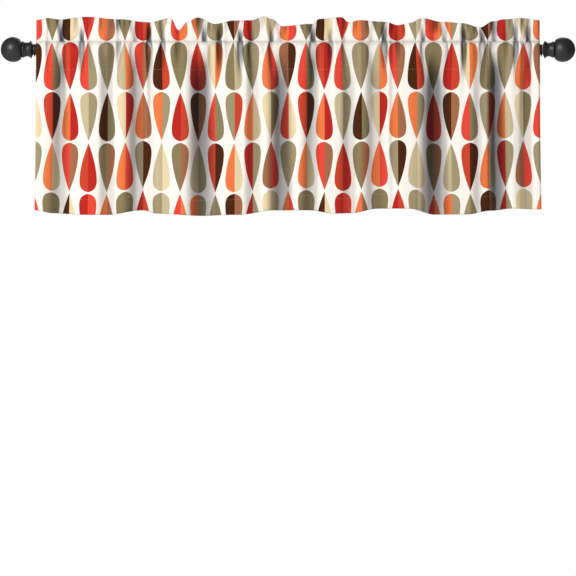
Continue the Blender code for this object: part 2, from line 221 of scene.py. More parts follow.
# The lamps reach the floor weakly, so it glows a little to the eye without lighting the cloth.
straight_look = add(floor_tree, "ShaderNodeLightPath")
glow = add(
    floor_tree, "ShaderNodeMath", {"operation": "MULTIPLY"}, in_0=straight_look.outputs["Is Camera Ray"],
    in_1=FLOOR_GLOW,
)
floor_tree.links.new(glow.outputs[0], floor_shader.inputs["Emission Strength"])
square = ((-1, -1), (1, -1), (1, 1), (-1, 1))
corners = [(FLOOR_REACH * x, FLOOR_REACH * y, -FLOOR_DROP) for x, y in square]
floor = mesh_object("floor", corners, [(0, 1, 2, 3)], [pale])
print("studio ready with", len(LAMPS), "lamps")

# %% [markdown]
# ## Hardware finishes
#
# The rod and its brackets are mild steel under a satin black powder coat: a nearly black skin
# with a soft highlight and a very fine orange-peel texture. The finials are cast resin sprayed in
# the same black, a little duller. The clamp and wall screws are zinc plated, a grey metal with a
# faint spangle. The bush, the end plugs and the wall anchors are moulded nylon, which is milky
# and lets a little light in. Each finish is mottled by a fine noise in the piece's own space.

# %% Finish function and the hard finishes
BROAD_SHARE = 0.05  # the broad clouds of tone are twenty times the grain's size
ROUGH_RANGE = (-0.05, 0.06)  # how far roughness strays from its middle value
TONE_STOPS = (0.15, 0.40)  # noise levels that show as the dark and the light tone


def mottled(name, light, dark, grain, relief, rough, **surface):
    """A finish whose colour and roughness vary over a grain, in metres, with a slight relief."""
    material, tree, shader = new_material(name, **surface)
    place = add(tree, "ShaderNodeTexCoord")
    spot = place.outputs["Object"]
    fine = add(tree, "ShaderNodeTexNoise", Vector=spot, Scale=1 / grain, Detail=3.0)
    broad = add(tree, "ShaderNodeTexNoise", Vector=spot, Scale=BROAD_SHARE / grain, Detail=2.0)
    tone = add(
        tree, "ShaderNodeMath", {"operation": "MULTIPLY"}, in_0=fine.outputs[0], in_1=broad.outputs[0]
    )
    colour = add(tree, "ShaderNodeValToRGB", Fac=tone.outputs[0])
    for stop, share, tint in zip(colour.color_ramp.elements, TONE_STOPS, (dark, light)):
        stop.position = share
        stop.color = linear(tint)
    gloss = add(
        tree, "ShaderNodeMapRange", Value=broad.outputs[0], To_Min=rough + ROUGH_RANGE[0],
        To_Max=rough + ROUGH_RANGE[1],
    )
    bump = add(tree, "ShaderNodeBump", Strength=0.4, Distance=relief, Height=fine.outputs[0])
    tree.links.new(colour.outputs[0], shader.inputs["Base Color"])
    tree.links.new(gloss.outputs[0], shader.inputs["Roughness"])
    tree.links.new(bump.outputs[0], shader.inputs["Normal"])
    return material


# Powder coat: 0.8 mm orange peel under a satin sheen.
black_coat = mottled(
    "satin_black_powder_coat", "#262628", "#1B1B1D", grain=0.0008, relief=0.00002, rough=0.40
)
# Sprayed resin: a softer, wider highlight than the coated steel.
black_resin = mottled(
    "satin_black_sprayed_resin", "#2C2C2E", "#212123", grain=0.0011, relief=0.00003, rough=0.44
)
# Zinc plate: a cool grey metal with a patchy, cloudy brightness.
zinc_plate = mottled(
    "zinc_plated_steel", "#C9CCD0", "#A9ADB3", grain=0.0009, relief=0.00001, rough=0.32, Metallic=1.0
)
# Moulded nylon: milky, so a little light scatters inside it.
nylon = mottled(
    "moulded_natural_nylon", "#EFEDE6", "#E2DFD5", grain=0.0006, relief=0.00002, rough=0.48,
    Subsurface_Weight=0.15, Subsurface_Scale=0.001,
)
print("hard finishes:", black_coat.name, black_resin.name, zinc_plate.name, nylon.name)

# %% [markdown]
# ## Trees and outlines
#
# What repeats or turns on this object is made by small Geometry Nodes trees. A tree starts with
# named inputs for its sizes and ends by making its instances real and giving them their finish.
# It runs on a seed object, and baking swaps that object for a plain closed mesh. Outlines are
# lists of points, and an outline's corners are eased, because no real edge is quite sharp.

# %% Trees, baking and outlines
SHARP_ANGLE = 35  # degrees past which an edge shows as an edge
SAME_POINT = 0.000002  # corners nearer than this are merged
MOST_EASED = 0.45  # share of an edge that one eased corner may use


def start_tree(name, **sockets):
    """A new tree with a geometry input and the named inputs; returns it and its input node."""
    tree = bpy.data.node_groups.new(name, "GeometryNodeTree")
    tree.interface.new_socket("Geometry", in_out="INPUT", socket_type="NodeSocketGeometry")
    for label, kind in sockets.items():
        tree.interface.new_socket(label.replace("_", " "), in_out="INPUT", socket_type="NodeSocket" + kind)
    tree.interface.new_socket("Piece", in_out="OUTPUT", socket_type="NodeSocketGeometry")
    return tree, add(tree, "NodeGroupInput")


def end_tree(tree, geometry, finish):
    """Make every instance real, give it its finish and send it out."""
    real = add(tree, "GeometryNodeRealizeInstances", Geometry=geometry)
    done = add(tree, "GeometryNodeSetMaterial", Geometry=real.outputs[0], Material=finish)
    add(tree, "NodeGroupOutput", in_0=done.outputs[0])


def bake(thing, name, place=Matrix()):
    """Swap an object with live modifiers for a plain closed mesh that faces outwards."""
    graph = bpy.context.evaluated_depsgraph_get()
    mesh = bpy.data.meshes.new_from_object(thing.evaluated_get(graph))
    bpy.data.objects.remove(thing, do_unlink=True)
    mesh.name = name
    mesh.transform(place)
    shell = bmesh.new()
    shell.from_mesh(mesh)
    bmesh.ops.remove_doubles(shell, verts=shell.verts, dist=SAME_POINT)
    if shell.calc_volume(signed=True) < 0:
        bmesh.ops.reverse_faces(shell, faces=shell.faces)
    shell.to_mesh(mesh)
    shell.free()
    mesh.shade_smooth()
    mesh.set_sharp_from_angle(angle=math.radians(SHARP_ANGLE))
    piece = bpy.data.objects.new(name, mesh)
    bpy.context.scene.collection.objects.link(piece)
    return piece


def run_tree(tree, name, points, edges, place=Matrix(), **values):
    """Run a tree on a line of points and bake the result."""
    seed = mesh_object(name + "_line", points, [], [], edges=edges)
    modifier = seed.modifiers.new(tree.name, "NODES")
    modifier.node_group = tree
    for item in tree.interface.items_tree:
        label = item.name.replace(" ", "_")
        if item.in_out == "INPUT" and label in values:
            modifier[item.identifier] = values[label]
    return bake(seed, name, place)


def arc(centre, radius, start, end, steps):
    """Points along an arc, angles in degrees."""
    angles = np.radians(np.linspace(start, end, steps + 1))
    return [(centre[0] + radius * math.cos(a), centre[1] + radius * math.sin(a)) for a in angles]


def eased_corners(points, radius, closed=False, steps=4):
    """The same outline with each corner drawn as a small curve."""
    result = []
    for i, corner in enumerate(points):
        if not closed and i in (0, len(points) - 1):
            result.append(tuple(corner))
            continue
        here = np.array(corner, float)
        before = np.array(points[i - 1], float) - here
        after = np.array(points[(i + 1) % len(points)], float) - here
        cut = min(radius, MOST_EASED * np.hypot(*before), MOST_EASED * np.hypot(*after))
        start = here + before / np.hypot(*before) * cut
        end = here + after / np.hypot(*after) * cut
        for t in np.linspace(0, 1, steps + 1):
            result.append(tuple((1 - t) ** 2 * start + 2 * t * (1 - t) * here + t**2 * end))
    return result


print("baking and outline helpers ready")

# %% [markdown]
# ## A lathe made of nodes
#
# Most of the hardware is round: tubes, finials, plugs, screws. On a lathe, such a piece is a
# profile turned about an axis. The same can be done with a Screw modifier, or with a loop over
# angles. Here it is a small Geometry Nodes tree, because one tree then serves every round piece:
# the profile is swept round a circle that is almost a point, and the seam and the poles are
# closed by merging.

# %% Lathe tree
AXIS_CIRCLE = 0.00001  # the circle that the profile is swept round
LARGE_ROUND = 96  # how many sides a turned piece has
MID_ROUND = 64
SMALL_ROUND = 48
TINY_ROUND = 32

lathe, given = start_tree("lathe", Segments="Int", Finish="Material")
profile_line = add(lathe, "GeometryNodeMeshToCurve", Mesh=given.outputs["Geometry"])
axis_circle = add(
    lathe, "GeometryNodeCurvePrimitiveCircle", Resolution=given.outputs["Segments"], Radius=AXIS_CIRCLE
)
swept = add(
    lathe, "GeometryNodeCurveToMesh", Curve=axis_circle.outputs["Curve"],
    Profile_Curve=profile_line.outputs[0],
)
closed_poles = add(
    lathe, "GeometryNodeMergeByDistance", Geometry=swept.outputs[0], Distance=3 * AXIS_CIRCLE
)
end_tree(lathe, closed_poles.outputs[0], given.outputs["Finish"])


def along(axis, base):
    """Matrix that stands a piece on a base point with its own Z along an axis."""
    return Matrix.Translation(base) @ Vector(axis).to_track_quat("Z", "Y").to_matrix().to_4x4()


def turned(name, profile, base, axis, finish, segments, closed=False):
    """Turn a profile of (distance along the axis, radius) points into a solid."""
    points = [(radius, -distance, 0) for distance, radius in profile]
    edges = [(i, i + 1) for i in range(len(points) - 1)]
    if closed:
        edges.append((len(points) - 1, 0))
    return run_tree(lathe, name, points, edges, along(axis, base), Segments=segments, Finish=finish)


def fit(piece, body, slot, *nodes):
    """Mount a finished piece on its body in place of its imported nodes."""
    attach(piece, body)
    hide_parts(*nodes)


SIDES = {"left": -1, "right": 1}
print("lathe ready with", len(lathe.nodes), "nodes")

# %% [markdown]
# ## The telescoping rod
#
# Two thin steel tubes slide one inside the other. The wide one carries the cloth; the narrow one
# comes out at the right when the rod is pulled longer. A tube could be a cylinder with a smaller
# one cut from it, but a closed profile, a long thin rectangle with its corners eased and turned
# about the axis, gives both walls and clean ends at once.

# %% Tubes
TUBE_WALL = 0.0008
EDGE = 0.0003  # easing of cut edges


def tube(name, finish):
    """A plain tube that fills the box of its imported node."""
    low, high = node_box(name)
    outer, length = (high[2] - low[2]) / 2, high[0] - low[0]
    wall = [(0, outer), (length, outer), (length, outer - TUBE_WALL), (0, outer - TUBE_WALL)]
    profile = eased_corners(wall, EDGE, closed=True)
    return turned(name + "_steel", profile, (low[0], rod_y, rod_z), (1, 0, 0), finish, LARGE_ROUND, True)


fit(tube("outer_rod_tube", black_coat), "rod", "black_metal", "outer_rod_tube")
fit(tube("inner_rod_tube", black_coat), "inner_rod", "black_metal", "inner_rod_tube")
inner_low, inner_high = node_box("inner_rod_tube")
inner_radius = (inner_high[2] - inner_low[2]) / 2
print(f"tubes of {2 * rod_radius / MM:.1f} and {2 * inner_radius / MM:.1f} mm")

# %% [markdown]
# ## Bush and plugs
#
# A nylon bush in the mouth of the wide tube keeps the narrow one centred and stops it scraping.
# A ribbed nylon plug is pressed into each far end of the rod and holds a finial's stud. Both are
# sleeves, so both are closed profiles on the lathe, and a loop adds the plugs' barbs.

# %% Glide bush and end plugs
CLEARANCE = 0.0003  # between two pieces that slide or screw together
BUSH_FLANGE = 0.0010
BUSH_CORNER = 0.0002
RIBS = 6
RIB_DEPTH = 0.0004
RIB_PLACES = (0.10, 0.75, 0.85)  # where a barb starts, reaches its height and ends, in each step


def ribbed(length, outer, bore):
    """Closed profile of a sleeve with a row of barbs round it."""
    step = length / RIBS
    barbs = []
    for k in range(RIBS):
        for share, height in zip(RIB_PLACES, (outer - RIB_DEPTH, outer, outer)):
            barbs.append(((k + share) * step, height))
    return [(0, bore), (0, outer - RIB_DEPTH)] + barbs + [(length, outer - RIB_DEPTH), (length, bore)]


bush_low, bush_high = node_box("glide_bush")
bush_length = bush_high[0] - bush_low[0]
bush_bore = inner_radius + CLEARANCE
bush_body = rod_radius - TUBE_WALL - CLEARANCE
flange_start = bush_length - BUSH_FLANGE
bush_profile = [
    (0, bush_bore), (0, bush_body), (flange_start, bush_body), (flange_start, rod_radius - CLEARANCE),
    (bush_length, rod_radius - CLEARANCE), (bush_length, bush_bore),
]
bush = turned(
    "glide_bush_nylon", eased_corners(bush_profile, BUSH_CORNER, closed=True),
    (bush_low[0], rod_y, rod_z), (1, 0, 0), nylon, MID_ROUND, True,
)
fit(bush, "rod", "nylon", "glide_bush")
stud_low, stud_high = node_box("finial_stud_right")
stud_radius = (stud_high[2] - stud_low[2]) / 2
for side, sign in SIDES.items():
    low, high = node_box("end_plug_" + side)
    sleeve = ribbed(high[0] - low[0], (high[2] - low[2]) / 2, stud_radius + CLEARANCE)
    mouth = (high[0] if sign > 0 else low[0], rod_y, rod_z)
    plug = turned("end_plug_nylon_" + side, sleeve, mouth, (-sign, 0, 0), nylon, SMALL_ROUND, True)
    fit(plug, "rod" if side == "left" else "inner_rod", "nylon", "end_plug_" + side)
print("bush and plugs fitted")

# %% [markdown]
# ## Ball finials
#
# Each finial is a ball on a waisted collar, both cast in resin round a threaded stud. The collar
# flares to a sharp lip against the rod, narrows to a waist, and flares again to a round bead
# under the ball. Its profile is a smooth curve through a few listed shares of its length and
# radius, and the ball's is an arc that stops at its flat seat, so both are turned on the lathe.

# %% Finials
COLLAR_SHAPE = [  # (share of the length, share of the greatest radius)
    (0.000, 0.667), (0.030, 0.700), (0.105, 0.930), (0.143, 1.000), (0.188, 0.985), (0.240, 0.915),
    (0.301, 0.857), (0.400, 0.800), (0.504, 0.785), (0.610, 0.800), (0.695, 0.838), (0.780, 0.885),
    (0.846, 0.924), (0.914, 0.933), (0.970, 0.886), (1.000, 0.810),
]


def through(table, i, t):
    """The point a share t of the way from row i to the next, on a Catmull-Rom curve."""
    p0, p1 = table[max(i - 1, 0)], table[i]
    p2, p3 = table[i + 1], table[min(i + 2, len(table) - 1)]
    bend = (2 * p0 - 5 * p1 + 4 * p2 - p3) * t**2 + (3 * p1 - p0 - 3 * p2 + p3) * t**3
    return 0.5 * (2 * p1 + (p2 - p0) * t + bend)


def smooth_line(points, steps=5):
    """More points on a smooth curve through the given ones."""
    table = np.array(points, float)
    line = [through(table, i, t) for i in range(len(table) - 1) for t in np.arange(steps) / steps]
    return np.array(line + [table[-1]])


collar_low, collar_high = node_box("finial_collar_right")
ball_low, ball_high = node_box("finial_ball_right")
rod_end = collar_low[0]
collar_length = collar_high[0] - rod_end
collar_radius = (collar_high[2] - collar_low[2]) / 2
ball_radius = (ball_high[2] - ball_low[2]) / 2
ball_centre = ball_high[0] - ball_radius - rod_end
ball_seat = ball_low[0] - rod_end
stud_hole = stud_radius + CLEARANCE
hole_end = stud_high[0] - rod_end + CLEARANCE
SEAT_RADIUS = 0.0185
SEAT_EASE = 8  # degrees by which the ball's arc stops short of its flat seat
collar_outline = [tuple(p) for p in smooth_line(COLLAR_SHAPE) * (collar_length, collar_radius)]
collar_outline += [(collar_length, stud_hole), (0, stud_hole)]
foot = math.degrees(math.asin((ball_centre - ball_seat) / ball_radius))
ball_outline = [(ball_centre + v, u) for u, v in arc((0, 0), ball_radius, 90, SEAT_EASE - foot, 48)]
ball_outline[0] = (ball_centre + ball_radius, 0)
ball_outline += [(ball_seat, SEAT_RADIUS), (ball_seat, stud_hole), (hole_end, stud_hole), (hole_end, 0)]
for side, sign in SIDES.items():
    spot, axis = (sign * rod_end, rod_y, rod_z), (sign, 0, 0)
    collar = turned(
        "finial_collar_resin_" + side, collar_outline, spot, axis, black_resin, LARGE_ROUND, True
    )
    fit(collar, "finial_" + side, "black_resin", "finial_collar_" + side)
    ball = turned("finial_ball_resin_" + side, ball_outline, spot, axis, black_resin, LARGE_ROUND)
    fit(ball, "finial_" + side, "black_resin", "finial_ball_" + side)
print(f"balls of {2 * ball_radius / MM:.0f} mm on collars of {collar_length / MM:.1f} mm")

# %% [markdown]
# ## Threads
#
# The studs and screws have rolled threads. A thread is a ridge that climbs round a shank, so the
# tree makes a spiral of the right pitch, sweeps a three-sided section along it and joins it to a
# plain core. A bump in the material would be cheaper, but a screw's outline would stay smooth.

# %% Thread tree
thread, given = start_tree(
    "rolled_thread", Radius="Float", Length="Float", Turns="Float", Ridge="Float", Finish="Material"
)
core_radius = add(
    thread, "ShaderNodeMath", {"operation": "SUBTRACT"}, in_0=given.outputs["Radius"],
    in_1=given.outputs["Ridge"],
)
spiral = add(
    thread, "GeometryNodeCurveSpiral", Resolution=20, Rotations=given.outputs["Turns"],
    Start_Radius=core_radius.outputs[0], End_Radius=core_radius.outputs[0], Height=given.outputs["Length"],
)
section = add(thread, "GeometryNodeCurvePrimitiveCircle", Resolution=3, Radius=given.outputs["Ridge"])
ridge = add(
    thread, "GeometryNodeCurveToMesh", Curve=spiral.outputs[0], Profile_Curve=section.outputs["Curve"],
    Fill_Caps=True,
)
core = add(
    thread, "GeometryNodeMeshCylinder", Vertices=24, Radius=core_radius.outputs[0],
    Depth=given.outputs["Length"],
)
half_length = add(
    thread, "ShaderNodeMath", {"operation": "MULTIPLY"}, in_0=given.outputs["Length"], in_1=0.5
)
lift = add(thread, "ShaderNodeCombineXYZ", Z=half_length.outputs[0])
raised = add(thread, "GeometryNodeTransform", Geometry=core.outputs["Mesh"], Translation=lift.outputs[0])
joined = add(thread, "GeometryNodeJoinGeometry", Geometry=raised.outputs[0])
thread.links.new(ridge.outputs[0], joined.inputs[0])
end_tree(thread, joined.outputs[0], given.outputs["Finish"])


def threaded(name, base, axis, radius, length, pitch, ridge_height, finish):
    """A threaded shank that starts at a base point and runs along an axis."""
    return run_tree(
        thread, name, [(0, 0, 0)], [], along(axis, base), Radius=radius, Length=length,
        Turns=length / pitch, Ridge=ridge_height, Finish=finish,
    )


STUD_PITCH = 0.0010
STUD_RIDGE = 0.0004
for side, sign in SIDES.items():
    start = sign * stud_low[0]
    stud = threaded(
        "finial_stud_thread_" + side, (start, rod_y, rod_z), (sign, 0, 0), stud_radius,
        stud_high[0] - stud_low[0], STUD_PITCH, STUD_RIDGE, zinc_plate,
    )
    fit(stud, "finial_" + side, "zinc_steel", "finial_stud_" + side)
print("studs threaded at", STUD_PITCH / MM, "mm pitch")

# %% [markdown]
# ## Pressed steel
#
# Flat parts such as bracket arms are punched from sheet steel, which leaves a slightly rounded
# edge. A mesh could be cut from a plate with booleans, but a 2D curve is simpler: Blender fills
# its outline, leaves its holes open, thickens it and rounds its edges over.

# %% Flat pressed parts
PRESS_ROUND = 0.00035  # rounding of pressed edges


def join_cut(target, tool, operation, name):
    """Join or cut two closed shapes and bake the result."""
    boolean = target.modifiers.new(operation.lower(), "BOOLEAN")
    boolean.operation = operation
    boolean.object = tool
    boolean.solver = "EXACT"
    result = bake(target, name)
    bpy.data.objects.remove(tool, do_unlink=True)
    return result


def pressed(name, outlines, thickness, place, finish):
    """Flat outlines, holes included, thickened about their plane and rounded at the edges."""
    curve = bpy.data.curves.new(name, "CURVE")
    curve.dimensions = "2D"
    curve.fill_mode = "BOTH"
    curve.extrude = thickness / 2 - PRESS_ROUND
    curve.bevel_depth = PRESS_ROUND
    curve.bevel_resolution = 2
    curve.offset = -PRESS_ROUND
    for outline in outlines:
        spline = curve.splines.new("POLY")
        spline.points.add(len(outline) - 1)
        for point, (u, v) in zip(spline.points, outline):
            point.co = (u, v, 0, 1)
        spline.use_cyclic_u = True
    curve.materials.append(finish)
    flat = bpy.data.objects.new(name, curve)
    bpy.context.scene.collection.objects.link(flat)
    return bake(flat, name, place)


def facing_x(x):
    """Matrix that lays a flat outline's (u, v) on (y, z) at a place along X."""
    return Matrix(((0, 0, 1, x), (1, 0, 0, 0), (0, 1, 0, 0), (0, 0, 0, 1)))


def facing_wall(y):
    """Matrix that lays a flat outline's (u, v) on (x, z) at a distance from the wall."""
    return Matrix(((1, 0, 0, 0), (0, 0, 1, y), (0, 1, 0, 0), (0, 0, 0, 1)))


def circle(u, v, radius, steps=32):
    """Outline of a round hole."""
    return arc((u, v), radius, 0, 360, steps)[:-1]


print("pressed parts ready")

# %% [markdown]
# ## Brackets
#
# Each bracket is two flat steel pieces. A wall plate is screwed to the wall and has an arm that
# stands out from it. A cradle arm slides along that arm on a slot, so the rod's distance from
# the wall can be set, and ends in an open hook, into which the rod drops. The plate's two flats
# are joined by a boolean, as a weld would, and the hook is one outline made of arcs.

# %% Wall plates and cradle arms
CLAMP_RADIUS = 0.0025
WALL_SCREW_RADIUS = 0.0020
FLANGE_CORNER = 0.0040
ARM_HALF = 0.0110  # half the arm's height
SLOT_AHEAD = 0.0080
SLOT_BEHIND = 0.0100
CRADLE_BAND = 0.0040
CRADLE_LIP = 0.0045
clamp_low, clamp_high = node_box("clamp_screw_right")
clamp_y = (clamp_low[1] + clamp_high[1]) / 2
wall_screw_low, wall_screw_high = node_box("wall_screw_right_upper")
wall_screw_x = (wall_screw_low[0] + wall_screw_high[0]) / 2
wall_screw_z = (wall_screw_low[2] + wall_screw_high[2]) / 2
plate_low, plate_high = node_box("wall_plate_right")
cradle_low, cradle_high = node_box("cradle_arm_right")
plate_thickness = cradle_high[0] - cradle_low[0]
seat = rod_radius + CLEARANCE
for side, sign in SIDES.items():
    low, high = node_box("wall_plate_" + side)
    corners = [(low[0], low[2]), (high[0], low[2]), (high[0], high[2]), (low[0], high[2])]
    hole = WALL_SCREW_RADIUS + CLEARANCE
    holes = [circle(sign * wall_screw_x, way * wall_screw_z, hole) for way in (1, -1)]
    flange_plate = pressed(
        "wall_flange", [eased_corners(corners, FLANGE_CORNER, True, 8)] + holes, plate_thickness,
        facing_wall(-plate_thickness / 2), black_coat,
    )
    arm_x = sign * (plate_high[0] - plate_thickness / 2)
    root = -plate_thickness / 2
    arm_outline = [(root, -ARM_HALF), (root, ARM_HALF)]
    arm_outline += arc((plate_low[1] + ARM_HALF, 0), ARM_HALF, 90, 270, 32)
    arm_plate = pressed(
        "wall_arm", [arm_outline, circle(clamp_y, 0, CLAMP_RADIUS + CLEARANCE)], plate_thickness,
        facing_x(arm_x), black_coat,
    )
    plate = join_cut(flange_plate, arm_plate, "UNION", "wall_plate_steel_" + side)
    fit(plate, "root", "black_metal", "wall_plate_" + side)

    outside = seat + CRADLE_BAND
    tangent = math.degrees(math.asin(ARM_HALF / outside))
    hook = [(rod_y + seat, ARM_HALF)]
    hook += arc((cradle_high[1] - ARM_HALF, 0), ARM_HALF, 90, -90, 32)
    hook += arc((rod_y, 0), outside, -tangent, -180, 40)
    hook += arc((rod_y - seat - CRADLE_BAND / 2, CRADLE_LIP), CRADLE_BAND / 2, 180, 0, 12)
    hook += arc((rod_y, 0), seat, -180, 0, 48)
    slot = arc((clamp_y + SLOT_BEHIND, 0), CLAMP_RADIUS + CLEARANCE, 90, -90, 16)
    slot += arc((clamp_y - SLOT_AHEAD, 0), CLAMP_RADIUS + CLEARANCE, -90, -270, 16)
    cradle_x = sign * (cradle_low[0] + cradle_high[0]) / 2
    cradle = pressed(
        "cradle_arm_steel_" + side, [hook, slot], plate_thickness, facing_x(cradle_x), black_coat
    )
    fit(cradle, "arm_" + side, "black_metal", "cradle_arm_" + side)
print(f"plates of {plate_thickness / MM:.1f} mm steel")

# %% [markdown]
# ## Screw heads
#
# The screws have pan heads with a cross recess for a driver. The head is turned on the lathe,
# and the recess is cut from it by a boolean with a cross of two tapered blades, which is how a
# punch forms the real one.

# %% Screw heads
HEAD_CROWN = 0.5  # widths are shares of the head's radius, heights shares of its height
HEAD_SHOULDER = 0.9
HEAD_SHOULDER_HEIGHT = 0.6
HEAD_CORNER = 0.0004
BLADE_LONG = 0.50
BLADE_THIN = 0.13
BLADE_TAPER = (0.55, 0.7)  # how much shorter and thinner a blade is at its foot
BLADE_FOOT = 0.30
BLADE_TOP = 1.30


def pan_head(name, base, axis, radius, height, finish):
    """A turned pan head with a cross recess in its crown."""
    crown = [(height, 0), (height, radius * HEAD_CROWN)]
    crown += [(height * HEAD_SHOULDER_HEIGHT, radius * HEAD_SHOULDER), (0, radius), (0, 0)]
    head = turned(name, eased_corners(crown, HEAD_CORNER), base, axis, finish, SMALL_ROUND)
    cutter = bmesh.new()
    for wide, thin in ((BLADE_LONG, BLADE_THIN), (BLADE_THIN, BLADE_LONG)):
        blade = bmesh.ops.create_cube(cutter, size=2.0)["verts"]
        for corner in blade:
            deep = corner.co.z < 0
            taper = BLADE_TAPER if deep else (1.0, 1.0)
            corner.co.x *= wide * radius * taper[0]
            corner.co.y *= thin * radius * taper[1]
            corner.co.z = height * (BLADE_FOOT if deep else BLADE_TOP)
    mesh = bpy.data.meshes.new("cross_recess")
    cutter.to_mesh(mesh)
    cutter.free()
    mesh.transform(along(axis, base))
    cross = bpy.data.objects.new("cross_recess", mesh)
    bpy.context.scene.collection.objects.link(cross)
    return join_cut(head, cross, "DIFFERENCE", name)


def merge(name, *pieces):
    """One object from several baked pieces that share a finish."""
    whole = bmesh.new()
    for piece in pieces:
        whole.from_mesh(piece.data)
    mesh = pieces[0].data.copy()
    whole.to_mesh(mesh)
    whole.free()
    mesh.name = name
    for piece in pieces:
        bpy.data.objects.remove(piece, do_unlink=True)
    thing = bpy.data.objects.new(name, mesh)
    bpy.context.scene.collection.objects.link(thing)
    return thing


print("heads ready")

# %% [markdown]
# ## Clamps
#
# A machine screw and a wing nut clamp each cradle arm to its wall plate, so it can be set by
# hand. The screw is a pan head and a thread, merged into one piece. The nut is a turned hub, and
# its two wings are pressed outlines with round tips, joined to the hub by booleans.

# %% Clamp screws and wing nuts
CLAMP_HEAD_HEIGHT = 0.0026
CLAMP_PITCH = 0.0008
CLAMP_RIDGE = 0.0003
NUT_WING_SPAN = 0.0240
NUT_WING_TIP = 0.0035
NUT_WING_ROOT = 0.0012
NUT_WING_SHOULDER = 0.0055
NUT_WING_THICKNESS = 0.0020
NUT_HUB_RADIUS = 0.0050
NUT_HUB_HEIGHT = 0.0065
NUT_HUB_TAPER = 0.86
NUT_HUB_CORNER = 0.0005
clamp_head_radius = (clamp_high[2] - clamp_low[2]) / 2
nut_low, nut_high = node_box("wing_nut_right")
nut_height = nut_high[0] - nut_low[0]
for side, sign in SIDES.items():
    head_face = clamp_low[0] + CLAMP_HEAD_HEIGHT
    spot = (sign * head_face, clamp_y, 0)
    head = pan_head("clamp_head", spot, (-sign, 0, 0), clamp_head_radius, CLAMP_HEAD_HEIGHT, zinc_plate)
    shank = threaded(
        "clamp_shank", spot, (sign, 0, 0), CLAMP_RADIUS, clamp_high[0] - head_face, CLAMP_PITCH,
        CLAMP_RIDGE, zinc_plate,
    )
    fit(merge("clamp_screw_zinc_" + side, head, shank), "root", "zinc_steel", "clamp_screw_" + side)

    hub_profile = [
        (0, CLAMP_RADIUS + CLEARANCE), (0, NUT_HUB_RADIUS),
        (NUT_HUB_HEIGHT, NUT_HUB_RADIUS * NUT_HUB_TAPER), (NUT_HUB_HEIGHT, CLAMP_RADIUS + CLEARANCE),
    ]
    spot = (sign * nut_low[0], clamp_y, 0)
    hub_outline = eased_corners(hub_profile, NUT_HUB_CORNER, True)
    nut = turned("wing_hub", hub_outline, spot, (sign, 0, 0), zinc_plate, SMALL_ROUND, True)
    blade = [(NUT_HUB_RADIUS - NUT_WING_ROOT, NUT_WING_ROOT), (NUT_HUB_RADIUS, NUT_WING_ROOT)]
    blade += arc((NUT_WING_SPAN / 2 - NUT_WING_TIP, nut_height - NUT_WING_TIP), NUT_WING_TIP, -60, 130, 20)
    blade.append((NUT_HUB_RADIUS - NUT_WING_ROOT, NUT_WING_SHOULDER))
    for way in (-1, 1):
        outline = [(clamp_y + way * u, v) for u, v in blade]
        lay = Matrix(((0, sign, 0, sign * nut_low[0]), (1, 0, 0, 0), (0, 0, 1, 0), (0, 0, 0, 1)))
        wing = pressed("wing", [outline], NUT_WING_THICKNESS, lay, zinc_plate)
        nut = join_cut(nut, wing, "UNION", "wing_nut_zinc_" + side)
    fit(nut, "wing_nut_" + side, "zinc_steel", "wing_nut_" + side)
print("clamps fitted")

# %% [markdown]
# ## Wall fixings
#
# Two wood screws in nylon anchors hold each wall plate. Their threads are coarser than a machine
# screw's and end in a turned point. An anchor is a ribbed sleeve, made like the rod's end plugs.
# A loop over the sides and levels places all four, since they differ only in where they stand.

# %% Wall screws and anchors
WALL_HEAD_HEIGHT = 0.0024
WALL_PITCH = 0.0016
WALL_RIDGE = 0.0005
WALL_TIP_LENGTH = 0.0048
WALL_TIP_SHARE = 0.75  # of the shank's radius, where the point starts
WALL_TIP_ROUND = 24  # sides
wall_head_radius = (wall_screw_high[2] - wall_screw_low[2]) / 2
head_y = wall_screw_low[1] + WALL_HEAD_HEIGHT
for side, sign in SIDES.items():
    for level, way in (("upper", 1), ("lower", -1)):
        name = side + "_" + level
        spot = (sign * wall_screw_x, head_y, way * wall_screw_z)
        head = pan_head("wall_head", spot, (0, -1, 0), wall_head_radius, WALL_HEAD_HEIGHT, zinc_plate)
        tip_start = wall_screw_high[1] - WALL_TIP_LENGTH
        shank = threaded(
            "wall_shank", spot, (0, 1, 0), WALL_SCREW_RADIUS, tip_start - head_y, WALL_PITCH, WALL_RIDGE,
            zinc_plate,
        )
        point = turned(
            "wall_point", [(0, WALL_SCREW_RADIUS * WALL_TIP_SHARE), (WALL_TIP_LENGTH, 0)],
            (spot[0], tip_start, spot[2]), (0, 1, 0), zinc_plate, WALL_TIP_ROUND,
        )
        screw = merge("wall_screw_zinc_" + name, head, shank, point)
        fit(screw, "root", "zinc_steel", "wall_screw_" + name)
        low, high = node_box("wall_anchor_" + name)
        sleeve = ribbed(high[1] - low[1], (high[2] - low[2]) / 2, WALL_SCREW_RADIUS + CLEARANCE)
        anchor = turned(
            "wall_anchor_nylon_" + name, sleeve, (spot[0], low[1], spot[2]), (0, 1, 0), nylon,
            TINY_ROUND, True,
        )
        fit(anchor, "root", "nylon", "wall_anchor_" + name)
print("four wall screws and anchors fitted")

# %% [markdown]
# ## Printed cotton
#
# The cloth is a plain-woven cotton blend with a retro print: rows of long drops, each split down
# its middle into two flat inks. A drop's tip points up in one column and down in the next, so the
# drops interlock. The print belongs to the cloth, so the material reads a UV map whose numbers
# are metres of flat cloth. The pattern is worked out from the UV with a few math nodes: which
# column and row a point is in, how far along its drop it lies, and whether it is inside.
#
# Each row has its own strip of 28 inks, two for each of 14 columns, held in a colour ramp with
# hard steps. The pattern repeats every 14 columns and every 4 rows.

